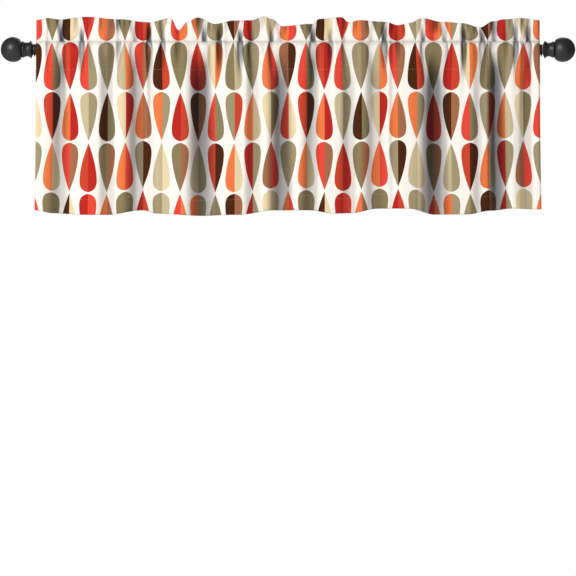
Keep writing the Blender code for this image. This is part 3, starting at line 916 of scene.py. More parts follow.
# %% Print layout
FLAT_WIDTH = 1.372  # 54 in
PRINT_COLUMN = 0.0494
PRINT_ROW = 0.1205
PRINT_LEFT = -0.0068  # middle of the first column, from the left edge
PRINT_TOP = 0.0545  # top of the first whole row, down from the header's fold
DROP_LENGTH = 0.968  # of a row
DROP_HALF_WIDTH = 0.462  # of a column
INKS = {
    "R": "#E94838",  # tomato
    "C": "#BC251F",  # crimson
    "T": "#CE452C",  # vermilion
    "O": "#F07C46",  # orange
    "B": "#4A2105",  # brown
    "P": "#A56C4C",  # clay
    "M": "#8C7E5B",  # olive
    "S": "#A29474",  # khaki
    "K": "#CABB98",  # light khaki
    "W": "#EBD8AF",  # butter
}
GROUND = "#FFFAF4"
INK_PLAN = [
    "OR MM BW CR OP MM CT SK RO OS SM BP CS WK",
    "PB RM TC RS SM KO RP BT MM CT WO MK MS OR",
    "RW TB OC KS BM WC OP OS CT BP RM ST OK WM",
    "SS OK RP TC MP OR SB KW MP KS TB OW CS PR",
]
DROP_OUTLINE = [  # (share of the length from the tip, share of the half-width)
    (0.0, 0.0), (0.14, 0.29), (0.32, 0.61), (0.50, 0.84), (0.66, 0.965), (0.78, 1.0), (0.86, 0.945),
    (0.92, 0.80), (0.965, 0.54), (1.0, 0.0),
]
INK_EDGE = (-0.006, 0.010)  # the ink's edge fades between these margins, in columns
COLUMNS_IN_REPEAT = 14
FLOOR = {"operation": "FLOOR"}
TAKE = {"operation": "SUBTRACT"}
TIMES = {"operation": "MULTIPLY"}
TIMES_PLUS = {"operation": "MULTIPLY_ADD"}
WRAP = {"operation": "FLOORED_MODULO"}
IS_NEAR = {"operation": "COMPARE"}
SIZE_OF = {"operation": "ABSOLUTE"}
SUM = {"operation": "ADD"}
COLOUR = {"data_type": "RGBA"}
SHADE = {"data_type": "RGBA", "blend_type": "MULTIPLY"}


def place_in_print(tree, uv):
    """Sockets for the column, the row, and how far aside and along a drop each point lies."""
    split = add(tree, "ShaderNodeSeparateXYZ", in_0=uv)
    across = add(
        tree, "ShaderNodeMath", TIMES_PLUS, in_0=split.outputs[0], in_1=1 / PRINT_COLUMN,
        in_2=0.5 - PRINT_LEFT / PRINT_COLUMN,
    )
    down = add(
        tree, "ShaderNodeMath", TIMES_PLUS, in_0=split.outputs[1], in_1=-1 / PRINT_ROW,
        in_2=1 - PRINT_TOP / PRINT_ROW,
    )
    column = add(tree, "ShaderNodeMath", FLOOR, in_0=across.outputs[0])
    row = add(tree, "ShaderNodeMath", FLOOR, in_0=down.outputs[0])
    in_column = add(tree, "ShaderNodeMath", TAKE, in_0=across.outputs[0], in_1=column.outputs[0])
    aside = add(tree, "ShaderNodeMath", TAKE, in_0=in_column.outputs[0], in_1=0.5)
    along_row = add(tree, "ShaderNodeMath", TAKE, in_0=down.outputs[0], in_1=row.outputs[0])
    count = add(tree, "ShaderNodeMath", SUM, in_0=column.outputs[0], in_1=row.outputs[0])
    odd = add(tree, "ShaderNodeMath", WRAP, in_0=count.outputs[0], in_1=2.0)
    flipped = add(tree, "ShaderNodeMath", TAKE, in_0=1.0, in_1=along_row.outputs[0])
    from_tip = add(
        tree, "ShaderNodeMix", in_0=odd.outputs[0], in_2=along_row.outputs[0], in_3=flipped.outputs[0]
    )
    return across.outputs[0], row.outputs[0], aside.outputs[0], from_tip.outputs[0]


def inside_drop(tree, aside, from_tip):
    """Socket that is 1 inside a drop and 0 on the ground, with an edge as soft as ink on cloth."""
    stretched = add(
        tree, "ShaderNodeMath", TIMES_PLUS, in_0=from_tip, in_1=1 / DROP_LENGTH,
        in_2=0.5 - 0.5 / DROP_LENGTH,
    )
    outline = add(tree, "ShaderNodeFloatCurve", Value=stretched.outputs[0])
    curve = outline.mapping.curves[0]
    curve.points[0].location = DROP_OUTLINE[0]
    curve.points[1].location = DROP_OUTLINE[-1]
    for t, width in DROP_OUTLINE[1:-1]:
        curve.points.new(t, width)
    curve.points[0].handle_type = "VECTOR"
    outline.mapping.update()
    half = add(tree, "ShaderNodeMath", TIMES, in_0=outline.outputs[0], in_1=DROP_HALF_WIDTH)
    away = add(tree, "ShaderNodeMath", SIZE_OF, in_0=aside)
    margin = add(tree, "ShaderNodeMath", TAKE, in_0=half.outputs[0], in_1=away.outputs[0])
    return add(
        tree, "ShaderNodeMapRange", {"interpolation_type": "SMOOTHSTEP"}, Value=margin.outputs[0],
        From_Min=INK_EDGE[0], From_Max=INK_EDGE[1],
    ).outputs[0]


def print_colour(tree):
    """Socket with the print's colour at each point of the cloth, and the cloth's UV."""
    uv = add(tree, "ShaderNodeUVMap", {"uv_map": "flat_cloth"}).outputs[0]
    across, row, aside, from_tip = place_in_print(tree, uv)
    in_repeat = add(tree, "ShaderNodeMath", WRAP, in_0=across, in_1=float(COLUMNS_IN_REPEAT))
    share = add(tree, "ShaderNodeMath", TIMES, in_0=in_repeat.outputs[0], in_1=1 / COLUMNS_IN_REPEAT)
    wrapped_row = add(tree, "ShaderNodeMath", WRAP, in_0=row, in_1=float(len(INK_PLAN)))
    ink = None
    for number, plan in enumerate(INK_PLAN):
        letters = plan.replace(" ", "")
        ramp = add(tree, "ShaderNodeValToRGB", Fac=share.outputs[0])
        ramp.color_ramp.interpolation = "CONSTANT"
        stops = ramp.color_ramp.elements
        while len(stops) < len(letters):
            stops.new(0.5)
        for k, letter in enumerate(letters):
            stops[k].position = k / len(letters)
            stops[k].color = linear(INKS[letter])
        if ink is None:
            ink = ramp.outputs[0]
            continue
        chosen = add(
            tree, "ShaderNodeMath", IS_NEAR, in_0=wrapped_row.outputs[0], in_1=float(number), in_2=0.5
        )
        ink = add(
            tree, "ShaderNodeMix", COLOUR, in_0=chosen.outputs[0], in_6=ink, in_7=ramp.outputs[0]
        ).outputs[2]
    inside = inside_drop(tree, aside, from_tip)
    printed = add(tree, "ShaderNodeMix", COLOUR, in_0=inside, in_6=linear(GROUND), in_7=ink)
    return printed.outputs[2], uv


print("print repeats every", round(COLUMNS_IN_REPEAT * PRINT_COLUMN, 3), "m across and",
      round(len(INK_PLAN) * PRINT_ROW, 3), "m down")

# %% [markdown]
# ## The cloth's finish
#
# Screen-printed plain-weave cotton is matt, with a faint bloom of fibres, and its ink shows
# through only weakly on the back. So the face and the back are two finishes from one function.
# Two crossed waves raise the weave, and a noise gives the yarn's slubs. Folds need one more
# thing: the sheet's are shallower than real ones, and soft light fills them. So shade is painted
# into the face's colour: the face reads an attribute that says how open each fold is, measured
# further down on the shape itself, and darkens to a cool grey where a fold closes in.

# %% Cotton
THREADS_APART = 0.0016  # real threads are 0.4 mm apart, but finer ones than these would vanish
WAVE_BANDS = 20  # a wave texture of scale 1 has this many bands in 2 pi metres
WEAVE_RELIEF = 0.0003
SLUB_SCALE = 260.0  # slubs of about 4 mm
SLUB_TONE = (0.94, 1.04)
BACK_STRENGTH = 0.38  # of the print, on the back
# Painted shade in the folds: the face's colour is darkened towards these grey tints as a fold closes in.
DEEPEST_OPENNESS = 0.44
PAINTED_FOLD_SHADE_TINTS = ("#FFFFFF", "#868991", "#131417")  # open, half closed, closed


def cotton(name, print_strength, painted_fold_shade):
    """Plain-woven cotton; the print shows at full strength on the face and faintly on the back."""
    material, tree, shader = new_material(
        name, Roughness=0.92, Sheen_Weight=0.08, Sheen_Roughness=0.5, Specular_IOR_Level=0.2
    )
    printed, uv = print_colour(tree)
    shown = add(tree, "ShaderNodeMix", COLOUR, in_0=print_strength, in_6=linear(GROUND), in_7=printed)
    weave_scale = 2 * math.pi / THREADS_APART / WAVE_BANDS
    warp, weft = (
        add(
            tree, "ShaderNodeTexWave", {"bands_direction": way}, Vector=uv, Scale=weave_scale,
            Distortion=0.6, Detail=1.0,
        )
        for way in "XY"
    )
    threads = add(tree, "ShaderNodeMath", SUM, in_0=warp.outputs[1], in_1=weft.outputs[1])
    slub = add(tree, "ShaderNodeTexNoise", Vector=uv, Scale=SLUB_SCALE, Detail=4.0, Roughness=0.6)
    tone = add(
        tree, "ShaderNodeMapRange", Value=slub.outputs[0], To_Min=SLUB_TONE[0], To_Max=SLUB_TONE[1]
    )
    coloured = add(
        tree, "ShaderNodeMix", SHADE, in_0=1.0, in_6=shown.outputs[2], in_7=tone.outputs[0]
    )
    if painted_fold_shade:
        # Painted shade: cloth deep in a fold sees little of the room, so its colour is darkened to a cool
        # grey.
        fold = add(tree, "ShaderNodeAttribute", {"attribute_name": "openness"})
        closed = add(
            tree, "ShaderNodeMapRange", Value=fold.outputs["Fac"], From_Min=1.0, From_Max=DEEPEST_OPENNESS
        )
        deep = add(tree, "ShaderNodeValToRGB", Fac=closed.outputs[0])
        deep.color_ramp.elements.new(0.5)
        for stop, tint in zip(deep.color_ramp.elements, PAINTED_FOLD_SHADE_TINTS):
            stop.color = linear(tint)
        coloured = add(
            tree, "ShaderNodeMix", SHADE, in_0=1.0, in_6=coloured.outputs[2], in_7=deep.outputs[0]
        )
    tree.links.new(coloured.outputs[2], shader.inputs["Base Color"])
    bump = add(tree, "ShaderNodeBump", Strength=0.25, Distance=WEAVE_RELIEF, Height=threads.outputs[0])
    tree.links.new(bump.outputs[0], shader.inputs["Normal"])
    return material


# The face carries painted shade in its folds; the back carries none.
printed_cotton = cotton("printed_cotton_face", 1.0, True)
cotton_back = cotton("printed_cotton_back", BACK_STRENGTH, False)
print("cloth finishes:", printed_cotton.name, cotton_back.name)

# %% [markdown]
# ## How the cloth is gathered
#
# The valance is one sheet. Followed from its hidden end, it rises behind the rod, makes the back
# of the header, folds over at the top, comes down the front of the header, passes in front of
# the rod, and hangs as the skirt to the turned-up hem. Two seams join the layers, one above
# the rod and one below it.
#
# The sheet is made row by row. A row is a line across the cloth at one height. It is pushed
# forward and back into folds until its length is exactly the flat width of the cloth, so that
# the sheet is never stretched, and its points are then spread evenly along it. A cloth
# simulation could find folds of its own, but these have set places: broad ones in the skirt,
# tight tucks at the header's seam, and an uneven top and bottom edge.

# %% Fold plan
header_box = node_box("header_frill")
hem_box = node_box("bottom_hem")
EDGE_ROOM = 0.0008  # the turned edges stay this far inside, clear of the cradle arms
half_width = header_box[1][0] - EDGE_ROOM
HEADER_SEAM = 0.0215
POCKET_SEAM = -0.0480
HEADER_TOP = header_box[1][2] - 0.0005
BOTTOM = hem_box[0][2]
HEM_TOP = hem_box[1][2]

VALLEYS = [  # (place across, depth, half-width, drift to the right at the hem) of the skirt's folds
    (-0.543, 0.013, 0.014, 0.000), (-0.433, 0.011, 0.013, 0.004), (-0.362, 0.016, 0.015, 0.004),
    (-0.326, 0.005, 0.008, 0.000), (-0.209, 0.028, 0.020, 0.008), (-0.082, 0.009, 0.013, 0.000),
    (-0.018, 0.023, 0.016, 0.002), (0.060, 0.012, 0.013, -0.006), (0.146, 0.010, 0.012, 0.000),
    (0.208, 0.014, 0.016, -0.002), (0.250, 0.004, 0.009, 0.000), (0.350, 0.029, 0.019, 0.000),
    (0.458, 0.008, 0.012, 0.000), (0.496, 0.024, 0.014, 0.002), (0.566, 0.009, 0.012, 0.000),
]
TUCKS = [  # (place across, share of the depth, half-width) of the tucks where the header is sewn
    (-0.573, 0.4, 0.0050), (-0.540, 1.4, 0.0045), (-0.492, 1.2, 0.0043), (-0.431, 0.3, 0.0056),
    (-0.402, 0.3, 0.0050), (-0.364, 0.7, 0.0053), (-0.332, 1.3, 0.0045), (-0.298, 0.9, 0.0045),
    (-0.262, 0.4, 0.0056), (-0.200, 1.3, 0.0050), (-0.164, 1.0, 0.0045), (-0.114, 1.4, 0.0045),
    (-0.087, 0.7, 0.0045), (-0.039, 1.1, 0.0045), (-0.015, 0.4, 0.0050), (0.060, 1.4, 0.0050),
    (0.102, 0.8, 0.0045), (0.135, 0.4, 0.0050), (0.200, 0.5, 0.0050), (0.230, 1.3, 0.0047),
    (0.262, 0.4, 0.0045), (0.324, 1.1, 0.0047), (0.374, 0.8, 0.0045), (0.420, 1.3, 0.0045),
    (0.465, 1.1, 0.0047), (0.494, 0.6, 0.0045), (0.520, 0.4, 0.0045), (0.544, 0.9, 0.0043),
    (0.574, 1.3, 0.0045),
]
HEADER_EDGE = [  # (place across, height of the header's top edge above its usual line)
    (-0.602, -0.002), (-0.575, 0.003), (-0.546, 0.000), (-0.482, 0.006), (-0.403, 0.000),
    (-0.331, -0.007), (-0.280, 0.003), (-0.262, -0.026), (-0.238, -0.004), (-0.216, 0.005),
    (-0.175, -0.011), (-0.130, -0.003), (-0.087, -0.002), (-0.058, 0.007), (-0.040, 0.001),
    (-0.012, -0.016), (0.056, -0.011), (0.076, 0.001), (0.128, 0.005), (0.145, -0.007),
    (0.171, -0.002), (0.235, -0.006), (0.262, -0.014), (0.290, -0.009), (0.321, 0.003),
    (0.372, -0.006), (0.415, -0.009), (0.458, -0.019), (0.492, -0.004), (0.515, 0.000),
    (0.558, 0.003), (0.602, -0.002),
]
HEM_EDGE = [  # (place across, height of the bottom edge above its usual line)
    (-0.602, 0.004), (-0.558, -0.003), (-0.482, -0.007), (-0.431, -0.007), (-0.345, 0.004),
    (-0.310, -0.004), (-0.210, -0.009), (-0.120, -0.007), (-0.030, 0.004), (0.050, 0.004),
    (0.110, -0.004), (0.150, -0.003), (0.214, 0.008), (0.285, 0.008), (0.350, -0.006),
    (0.425, -0.006), (0.482, 0.003), (0.530, 0.008), (0.602, 0.006),
]
CREST = 0.0060  # the crests stand this far in front of the sheet's middle plane
CREST_SWAY = 0.0016  # and sway by this much along a slow wave
SWAY_TURNS = 29.0  # radians of the wave in a metre
SWAY_START = 0.8
FOLD_SPREAD = 0.35  # folds are wider by this share at the hem
TUCK_FALL = 1.5  # a tuck falls by this much of its depth,
TUCK_LIFT = 0.5  # from a lift of this much,
LIFT_WIDTH = 2.4  # which is this many times as wide
PUCKER_WAVES = (0.0135, 0.017, 0.021, 0.026, 0.034)
PUCKER_DRIFT = 0.3  # share of its wavelength by which a wave wanders
PUCKER_SUM = 2.4  # brings the waves' sum back to about 1
FOLD_CROWDING = 1.3  # extra columns of the sheet at each fold
CROWDING_WIDTH = 2.2  # in half-widths of the fold
SAMPLES = 3000
COLUMNS = 500
across = np.linspace(-1.0, 1.0, SAMPLES)


def eased(places, table):
    """Smooth steps through a given table of (place, value)."""
    xs, values = np.array(table, float).T
    k = np.clip(np.searchsorted(xs, places) - 1, 0, len(xs) - 2)
    t = np.clip((places - xs[k]) / (xs[k + 1] - xs[k]), 0, 1)
    return values[k] + (values[k + 1] - values[k]) * (1 - np.cos(np.pi * t)) / 2


def fold_line(places, reach):
    """The skirt's folds: broad crests between narrow valleys. reach is 0 at the seam, 1 at the hem."""
    line = np.full_like(places, CREST)
    for x, depth, half, drift in VALLEYS:
        away = (places - x - drift * reach) / (half * (1 + FOLD_SPREAD * reach))
        line -= depth * np.exp(-(away**2))
    return line + CREST_SWAY * np.sin(places * SWAY_TURNS + SWAY_START)


def tuck_line(places, opening):
    """Tight tucks: valleys with a lift on both sides, opening times as wide as at the seam."""
    line = np.zeros_like(places)
    for x, depth, half in TUCKS:
        d = (places - x) / (half * opening)
        line += depth * (TUCK_LIFT * np.exp(-((d / LIFT_WIDTH) ** 2)) - TUCK_FALL * np.exp(-(d**2)))
    return line


def pucker_line(places, seed):
    """Small irregular puckers beside a seam, from a few waves of uneven length."""
    random = np.random.default_rng(seed)
    line = np.zeros_like(places)
    for wavelength in PUCKER_WAVES:
        drift = PUCKER_DRIFT * wavelength * np.sin(places * random.uniform(9, 25) + random.uniform(0, 6))
        line += np.sin(2 * np.pi * (places + drift) / wavelength + random.uniform(0, 6))
    return line / PUCKER_SUM


def column_shares():
    """Where the sheet's columns lie, from 0 to 1: closer together at the folds and tucks."""
    xs = across * half_width
    density = np.ones_like(xs)
    for x, _, half, *_ in VALLEYS + TUCKS:
        density += FOLD_CROWDING * np.exp(-(((xs - x) / (CROWDING_WIDTH * half)) ** 2))
    run = np.concatenate([[0], np.cumsum(density[1:] + density[:-1])])
    return np.interp(np.linspace(0, run[-1], COLUMNS), run, np.linspace(0, 1, SAMPLES))


shares = column_shares()
print(len(VALLEYS), "folds and", len(TUCKS), "tucks across", round(2 * half_width, 3), "m")

# %% [markdown]
# ## The cloth's path round the rod
#
# Seen from the side, the sheet follows one line: up behind the rod, over the header's top, down
# the front, and round the turned-up hem. It could be drawn as a curve object, but a table of key
# points can also say how strongly the folds, tucks and puckers show at each, so that one kind
# of fold turns slowly into another on the way down.

# %% Path of the cloth from back to front
# Each point of the path: toward the wall, height, rows to the next point, then how much of the
# folds, the tucks and the puckers show there, and which side of the rod the cloth must keep to.
CLOTH_PATH = [
    (-0.0090, -0.0535, 1, 0.66, 0.55, 0.25, 0),
    (-0.0098, POCKET_SEAM, 2, 0.66, 0.55, 0.25, 0),
    (0.0010, -0.0300, 2, 0.44, 0.6, 0.8, -0.5),
    (0.0118, -0.0120, 2, 0.22, 0.6, 1.5, -1),
    (0.0144, 0.0040, 2, 0.18, 0.8, 1.6, -1),
    (0.0060, 0.0180, 2, 0.22, 1.4, 0.5, -1),
    (0.0004, HEADER_SEAM, 2, 0.18, 1.5, 0.4, 0),
    (0.0030, 0.0330, 2, 0.20, 1.5, 0.5, 0),
    (0.0030, 0.0470, 2, 0.26, 0.8, 1.3, 0),
    (0.0026, 0.0600, 2, 0.32, 0.4, 1.8, 0),
    (0.0018, HEADER_TOP - 0.0016, 2, 0.36, 0.3, 1.9, 0),
    (0.0000, HEADER_TOP, 2, 0.36, 0.3, 1.9, 0),
    (-0.0018, HEADER_TOP - 0.0016, 3, 0.36, 0.3, 1.9, 0),
    (-0.0026, 0.0600, 3, 0.32, 0.4, 1.8, 0),
    (-0.0034, 0.0470, 3, 0.26, 0.8, 1.3, 0),
    (-0.0034, 0.0330, 4, 0.20, 1.5, 0.5, 0),
    (-0.0020, HEADER_SEAM, 3, 0.18, 1.5, 0.4, 0),
    (-0.0074, 0.0170, 3, 0.24, 1.4, 0.4, 1),
    (-0.0142, 0.0080, 3, 0.32, 1.2, 0.5, 1),
    (-0.0156, -0.0080, 5, 0.46, 0.9, 0.5, 1),
    (-0.0136, -0.0300, 4, 0.56, 0.7, 0.35, 0.5),
    (-0.0112, POCKET_SEAM, 3, 0.66, 0.55, 0.25, 0.1),
    (-0.0092, -0.0650, 4, 0.80, 0.32, 0.25, 0),
    (-0.0066, -0.0900, 5, 0.96, 0.18, 0.15, 0),
    (-0.0032, -0.1400, 8, 1.00, 0.10, 0.1, 0),
    (-0.0010, -0.2400, 7, 1.00, 0.08, 0.05, 0),
    (-0.0005, -0.3400, 5, 1.00, 0.08, 0.0, 0),
    (-0.0004, BOTTOM + 0.0060, 3, 1.00, 0.06, 0.0, 0),
    (0.0000, BOTTOM + 0.0010, 1, 1.00, 0.06, 0.0, 0),
    (0.0010, BOTTOM, 1, 1.00, 0.06, 0.0, 0),
    (0.0020, BOTTOM + 0.0010, 3, 1.00, 0.06, 0.0, 0),
    (0.0020, HEM_TOP - 0.004, 2, 1.00, 0.08, 0.0, 0),
    (0.0015, HEM_TOP, 0, 1.00, 0.08, 0.0, 0),
]


def smooth_path(keys):
    """Rows through the key points on a Catmull-Rom curve, weights carried along."""
    table = np.array([[k[0], k[1], *k[3:]] for k in keys], float)
    rows = []
    for i in range(len(keys) - 1):
        for step in range(keys[i][2]):
            t = step / keys[i][2]
            straight = table[i] + (table[i + 1] - table[i]) * t
            rows.append(np.concatenate([through(table, i, t)[:2], straight[2:]]))
    rows.append(table[-1])
    return np.array(rows)


def front_row(height):
    """The row of the sheet's front layer nearest a height."""
    return int(top_row + np.argmin(np.abs(path_rows[top_row:, 1] - height)))


path_rows = smooth_path(CLOTH_PATH)
step_lengths = np.hypot(np.diff(path_rows[:, 0]), np.diff(path_rows[:, 1]))
path_length = np.concatenate([[0], np.cumsum(step_lengths)])
top_row = int(np.argmax(path_rows[:, 1]))
bottom_row = int(np.argmin(path_rows[:, 1]))
flat_down = path_length - path_length[top_row]  # metres of cloth below the top fold, at the front
front_seam_row = front_row(HEADER_SEAM)
back_seam_row = int(np.argmin(np.abs(path_rows[:top_row, 1] - HEADER_SEAM)))
pocket_seam_row = front_row(POCKET_SEAM)
print(len(path_rows), "rows; the cloth is", round(path_length[-1], 4), "m long when flat")

# %% [markdown]
# ## Gathering
#
# A gathered cloth is wider than the rod it hangs on, and the folds take up the rest. Each row
# could be given folds by eye, but then some rows would need more cloth than others. Instead the
# row's folds are scaled by one number, and halving steps find the number that makes the row just
# as long as the cloth is wide. Where a layer passes the rod, its folds are kept to one side.

# %% Gather each row to the flat width
TUCK_DEPTH = 0.0052
TUCK_OPENING = 0.35  # a tuck is this much wider TUCK_REACH above and below the seam than on it
TUCK_REACH = 0.012
PUCKER_DEPTH = 0.0009
PUCKER_SEED = 5
ROD_ROOM = 0.0030  # how gently a fold turns away where the rod stops it
PLATE_ZONE = (0.060, 0.020)  # the wall plates matter this near the rod's height, fading over this
PLATE_FREE = 0.0165  # near the plates a fold may run back this far,
PLATE_MORE = 0.0050  # and then by less and less, up to this much more
SIDE_FLARE = 0.0038  # the sides of the skirt spread by this much at the bottom
EDGE_POWER = 1.3  # above 1, so the header's uneven edge grows mostly near the top
MOST_SPREAD = 12.0  # the search for a row's fold scale starts between 0 and this
SEARCH_STEPS = 40
SMOOTHING_PASSES = 3
SEAM_PASSES = 10
SEAM_SMOOTH = (-0.006, -0.110)  # heights between which the front is smoothed


def row_shape(row, spread):
    """x, forward displacement and lift of one row before it is sampled."""
    wall, height, folds, tucks, puckers, keep_off = row
    xs = across * half_width
    reach = np.clip((POCKET_SEAM - height) / (POCKET_SEAM - BOTTOM), 0, 1)
    opening = 1 + TUCK_OPENING * min(abs(height - HEADER_SEAM) / TUCK_REACH, 1)
    fine = tucks * TUCK_DEPTH * tuck_line(xs, opening)
    fine += puckers * PUCKER_DEPTH * pucker_line(xs, PUCKER_SEED)
    forward = spread * (folds * fold_line(xs, reach) + fine)
    one_sided = math.copysign(0.5, keep_off) * (forward + np.sqrt(forward**2 + ROD_ROOM**2))
    forward = forward + abs(keep_off) * (one_sided - forward)
    near_plates = np.clip((PLATE_ZONE[0] - abs(height)) / PLATE_ZONE[1], 0, 1)
    over = np.maximum(wall - forward - PLATE_FREE, 0)
    forward = forward + near_plates * (over - PLATE_MORE * np.tanh(over / PLATE_MORE))
    lift = np.zeros_like(xs)
    if height > HEADER_SEAM:
        up = (height - HEADER_SEAM) / (HEADER_TOP - HEADER_SEAM)
        lift = eased(xs, HEADER_EDGE) * up**EDGE_POWER
    elif height < POCKET_SEAM:
        lift = eased(xs, HEM_EDGE) * reach
    wide = xs * (1 + reach**2 * SIDE_FLARE / half_width)
    return wide, forward, lift


def gather(row):
    """Points of a row at even steps of cloth, with its folds scaled to use up the flat width."""
    low, high = 0.0, MOST_SPREAD
    for _ in range(SEARCH_STEPS):
        spread = (low + high) / 2
        xs, forward, _ = row_shape(row, spread)
        if np.hypot(np.diff(xs), np.diff(forward)).sum() < FLAT_WIDTH:
            low = spread
        else:
            high = spread
    xs, forward, lift = row_shape(row, spread)
    run = np.concatenate([[0], np.cumsum(np.hypot(np.diff(xs), np.diff(forward)))])
    even = run[-1] * shares
    wall, height = row[0], row[1]
    return np.stack([
        np.interp(even, run, xs),
        rod_y + wall - np.interp(even, run, forward),
        np.full(COLUMNS, height) + np.interp(even, run, lift),
    ], axis=1), spread


gathered_rows = [gather(row) for row in path_rows]
cloth = np.array([points for points, _ in gathered_rows])
for _ in range(SMOOTHING_PASSES):
    # A thread that runs down the cloth can't jog sideways from row to row.
    cloth[1:-1, :, 0] = (cloth[:-2, :, 0] + 2 * cloth[1:-1, :, 0] + cloth[2:, :, 0]) / 4
first, last = (front_row(height) for height in SEAM_SMOOTH)
for _ in range(SEAM_PASSES):
    # In front of the lower seam the cloth hangs past without a crease.
    stretch = cloth[first - 1 : last + 2, :, :2]
    cloth[first : last + 1, :, :2] = (stretch[:-2] + 2 * stretch[1:-1] + stretch[2:]) / 4
spreads = [spread for _, spread in gathered_rows]
print("fold scale by row", [round(spread, 2) for spread in spreads])

# %% [markdown]
# ## The lower seam
#
# Under the rod the two layers are sewn together, so there the back layer must follow every fold
# of the front one. The rows behind the rod are therefore pulled step by step towards the front
# row at their own height, and below the seam they lie flat against it.

# %% Sew the back layer to the front
SEWN_GAP = 0.0011  # between the middles of two layers that are sewn together
SEWN_FROM = -0.0300  # height where the back layer begins to follow the front
for r in range(top_row):
    height = path_rows[r, 1]
    sewn = np.clip((SEWN_FROM - height) / (SEWN_FROM - POCKET_SEAM), 0, 1)
    if sewn > 0:
        twin = front_row(height)
        cloth[r, :, 0] += sewn * (cloth[twin, :, 0] - cloth[r, :, 0])
        cloth[r, :, 1] += sewn * (cloth[twin, :, 1] + SEWN_GAP - cloth[r, :, 1])
print("lower seam at row", pocket_seam_row, "and header seam at rows", back_seam_row, front_seam_row)

# %% [markdown]
# ## Painted shade in the folds
#
# A point deep in a fold is shut in by the cloth on both sides of it. How much of the room it
# still sees follows from the steepest line of sight past its neighbours. This is measured here
# for every point of the sheet, across and down, and stored on the mesh, and the face's finish
# paints shade into its colour from it. So the painted shade belongs to the cloth's own shape
# and stays with it from every side.

# %% How open each fold is
# These set how much shade is painted into the face's colour in folds and in grooves across.
SHADE_REACH = 0.045  # how far to each side the neighbouring cloth can close a fold in
SEAM_SHADE_REACH = 0.020  # and how far above and below
SEAM_SHADE = 0.22  # a groove that runs across is lit from its ends, so it stays much lighter
NEAREST = 0.0003  # points nearer than this count as this far apart
LOOK_SHARE = 12  # a point looks past at most one twelfth of its line on each side
SHADE_PASSES = 2


def openness(places, forward, reach):
    """Share of the room in front that each point of a line sees past the cloth beside it."""
    count = len(places)
    seen = []
    for way in (-1, 1):
        steepest = np.zeros(count)
        for step in range(1, count // LOOK_SHARE):
            near = np.arange(count) + way * step
            inside = (near >= 0) & (near < count)
            near = np.clip(near, 0, count - 1)
            apart = np.abs(places[near] - places)
            slope = (forward[near] - forward) / np.maximum(apart, NEAREST)
            steepest = np.maximum(steepest, np.where(inside & (apart < reach), slope, 0))
        seen.append(1 / np.sqrt(1 + steepest**2))
    return (seen[0] + seen[1]) / 2


open_share = np.array([openness(row[:, 0], -row[:, 1], SHADE_REACH) for row in cloth])
for c in range(COLUMNS):
    column = cloth[top_row:bottom_row, c]
    groove = openness(column[:, 2], -column[:, 1], SEAM_SHADE_REACH)
    open_share[top_row:bottom_row, c] *= 1 - SEAM_SHADE * (1 - groove)
for _ in range(SHADE_PASSES):
    open_share[1:-1] = (open_share[:-2] + 2 * open_share[1:-1] + open_share[2:]) / 4
print("openness from", round(float(open_share.min()), 2), "in the tightest tuck to 1 on a crest")

# %% [markdown]
# ## The sheet
#
# The points become one mesh with a UV map in metres of flat cloth, which the print reads. On
# real cloth the print vanishes into each fold. Here the folds are shallower than real ones, so
# the print is spread partly by place across, which keeps the drops about evenly spaced. A
# Solidify modifier gives the cloth its thickness and puts the pale finish on its back.

# %% Build the sheet
CLOTH_THICKNESS = 0.0006
PRINT_EVENNESS = 0.75  # how evenly the print is spread across, in place of following each fold
reach_by_row = np.clip((POCKET_SEAM - path_rows[:, 1]) / (POCKET_SEAM - BOTTOM), 0, 1)
row_half_width = half_width + reach_by_row**2 * SIDE_FLARE
even_u = FLAT_WIDTH * (cloth[:, :, 0] / row_half_width[:, None] + 1) / 2
sheet_u = PRINT_EVENNESS * even_u + (1 - PRINT_EVENNESS) * FLAT_WIDTH * shares
front = slice(top_row, bottom_row + 1)
drop = path_rows[top_row, 1] - path_rows[front, 1]
print_down = flat_down.copy()
print_down[front] += PRINT_EVENNESS * (drop * flat_down[bottom_row] / drop[-1] - flat_down[front])
sheet_v = np.repeat(-print_down[:, None], COLUMNS, axis=1)


def cloth_piece(name, points, us, vs, opens, materials):
    """A sheet from a grid of points, with flat-cloth UVs, its folds' openness and a thickness."""
    rows, columns = points.shape[:2]
    faces = grid_faces(rows, columns)
    thing = mesh_object(name, points.reshape(-1, 3), faces, materials)
    layer = thing.data.uv_layers.new(name="flat_cloth")
    uv = np.stack([us, vs], axis=2).reshape(-1, 2)
    corners = np.array(faces).reshape(-1)
    layer.data.foreach_set("uv", uv[corners].reshape(-1).astype(np.float32))
    shade = thing.data.attributes.new("openness", "FLOAT", "POINT")
    shade.data.foreach_set("value", opens.reshape(-1).astype(np.float32))
    solid = thing.modifiers.new("thickness", "SOLIDIFY")
    solid.thickness = CLOTH_THICKNESS
    solid.offset = 0.0
    solid.material_offset = 1
    solid.material_offset_rim = 0
    return thing


valance = cloth_piece("valance_cloth", cloth, sheet_u, sheet_v, open_share, [printed_cotton, cotton_back])
print("valance has", len(valance.data.polygons), "faces before its thickness")

# %% [markdown]
# ## Side hems
#
# The raw side edges are folded in by an inch and stitched down, so from behind the print shows
# at full strength along each side. Each hem is a strip of its own that goes round the sheet's
# edge and lies behind it, copied from the sheet's points so that it follows every fold, with
# its face and back swapped.

# %% Side hems
SIDE_HEM_WIDTH = 0.0254  # 1 in
FOLD_OUT = 0.0004  # how far the folded edge reaches past the sheet's own
FOLD_CLOTH = 0.0006  # cloth used up by each half of the turn
hem_rows = slice(pocket_seam_row, bottom_row - 2)


def inward_from(sign):
    """Metres of flat cloth from one side's edge to each column of the sheet."""
    flat = FLAT_WIDTH * shares
    return flat if sign < 0 else FLAT_WIDTH - flat


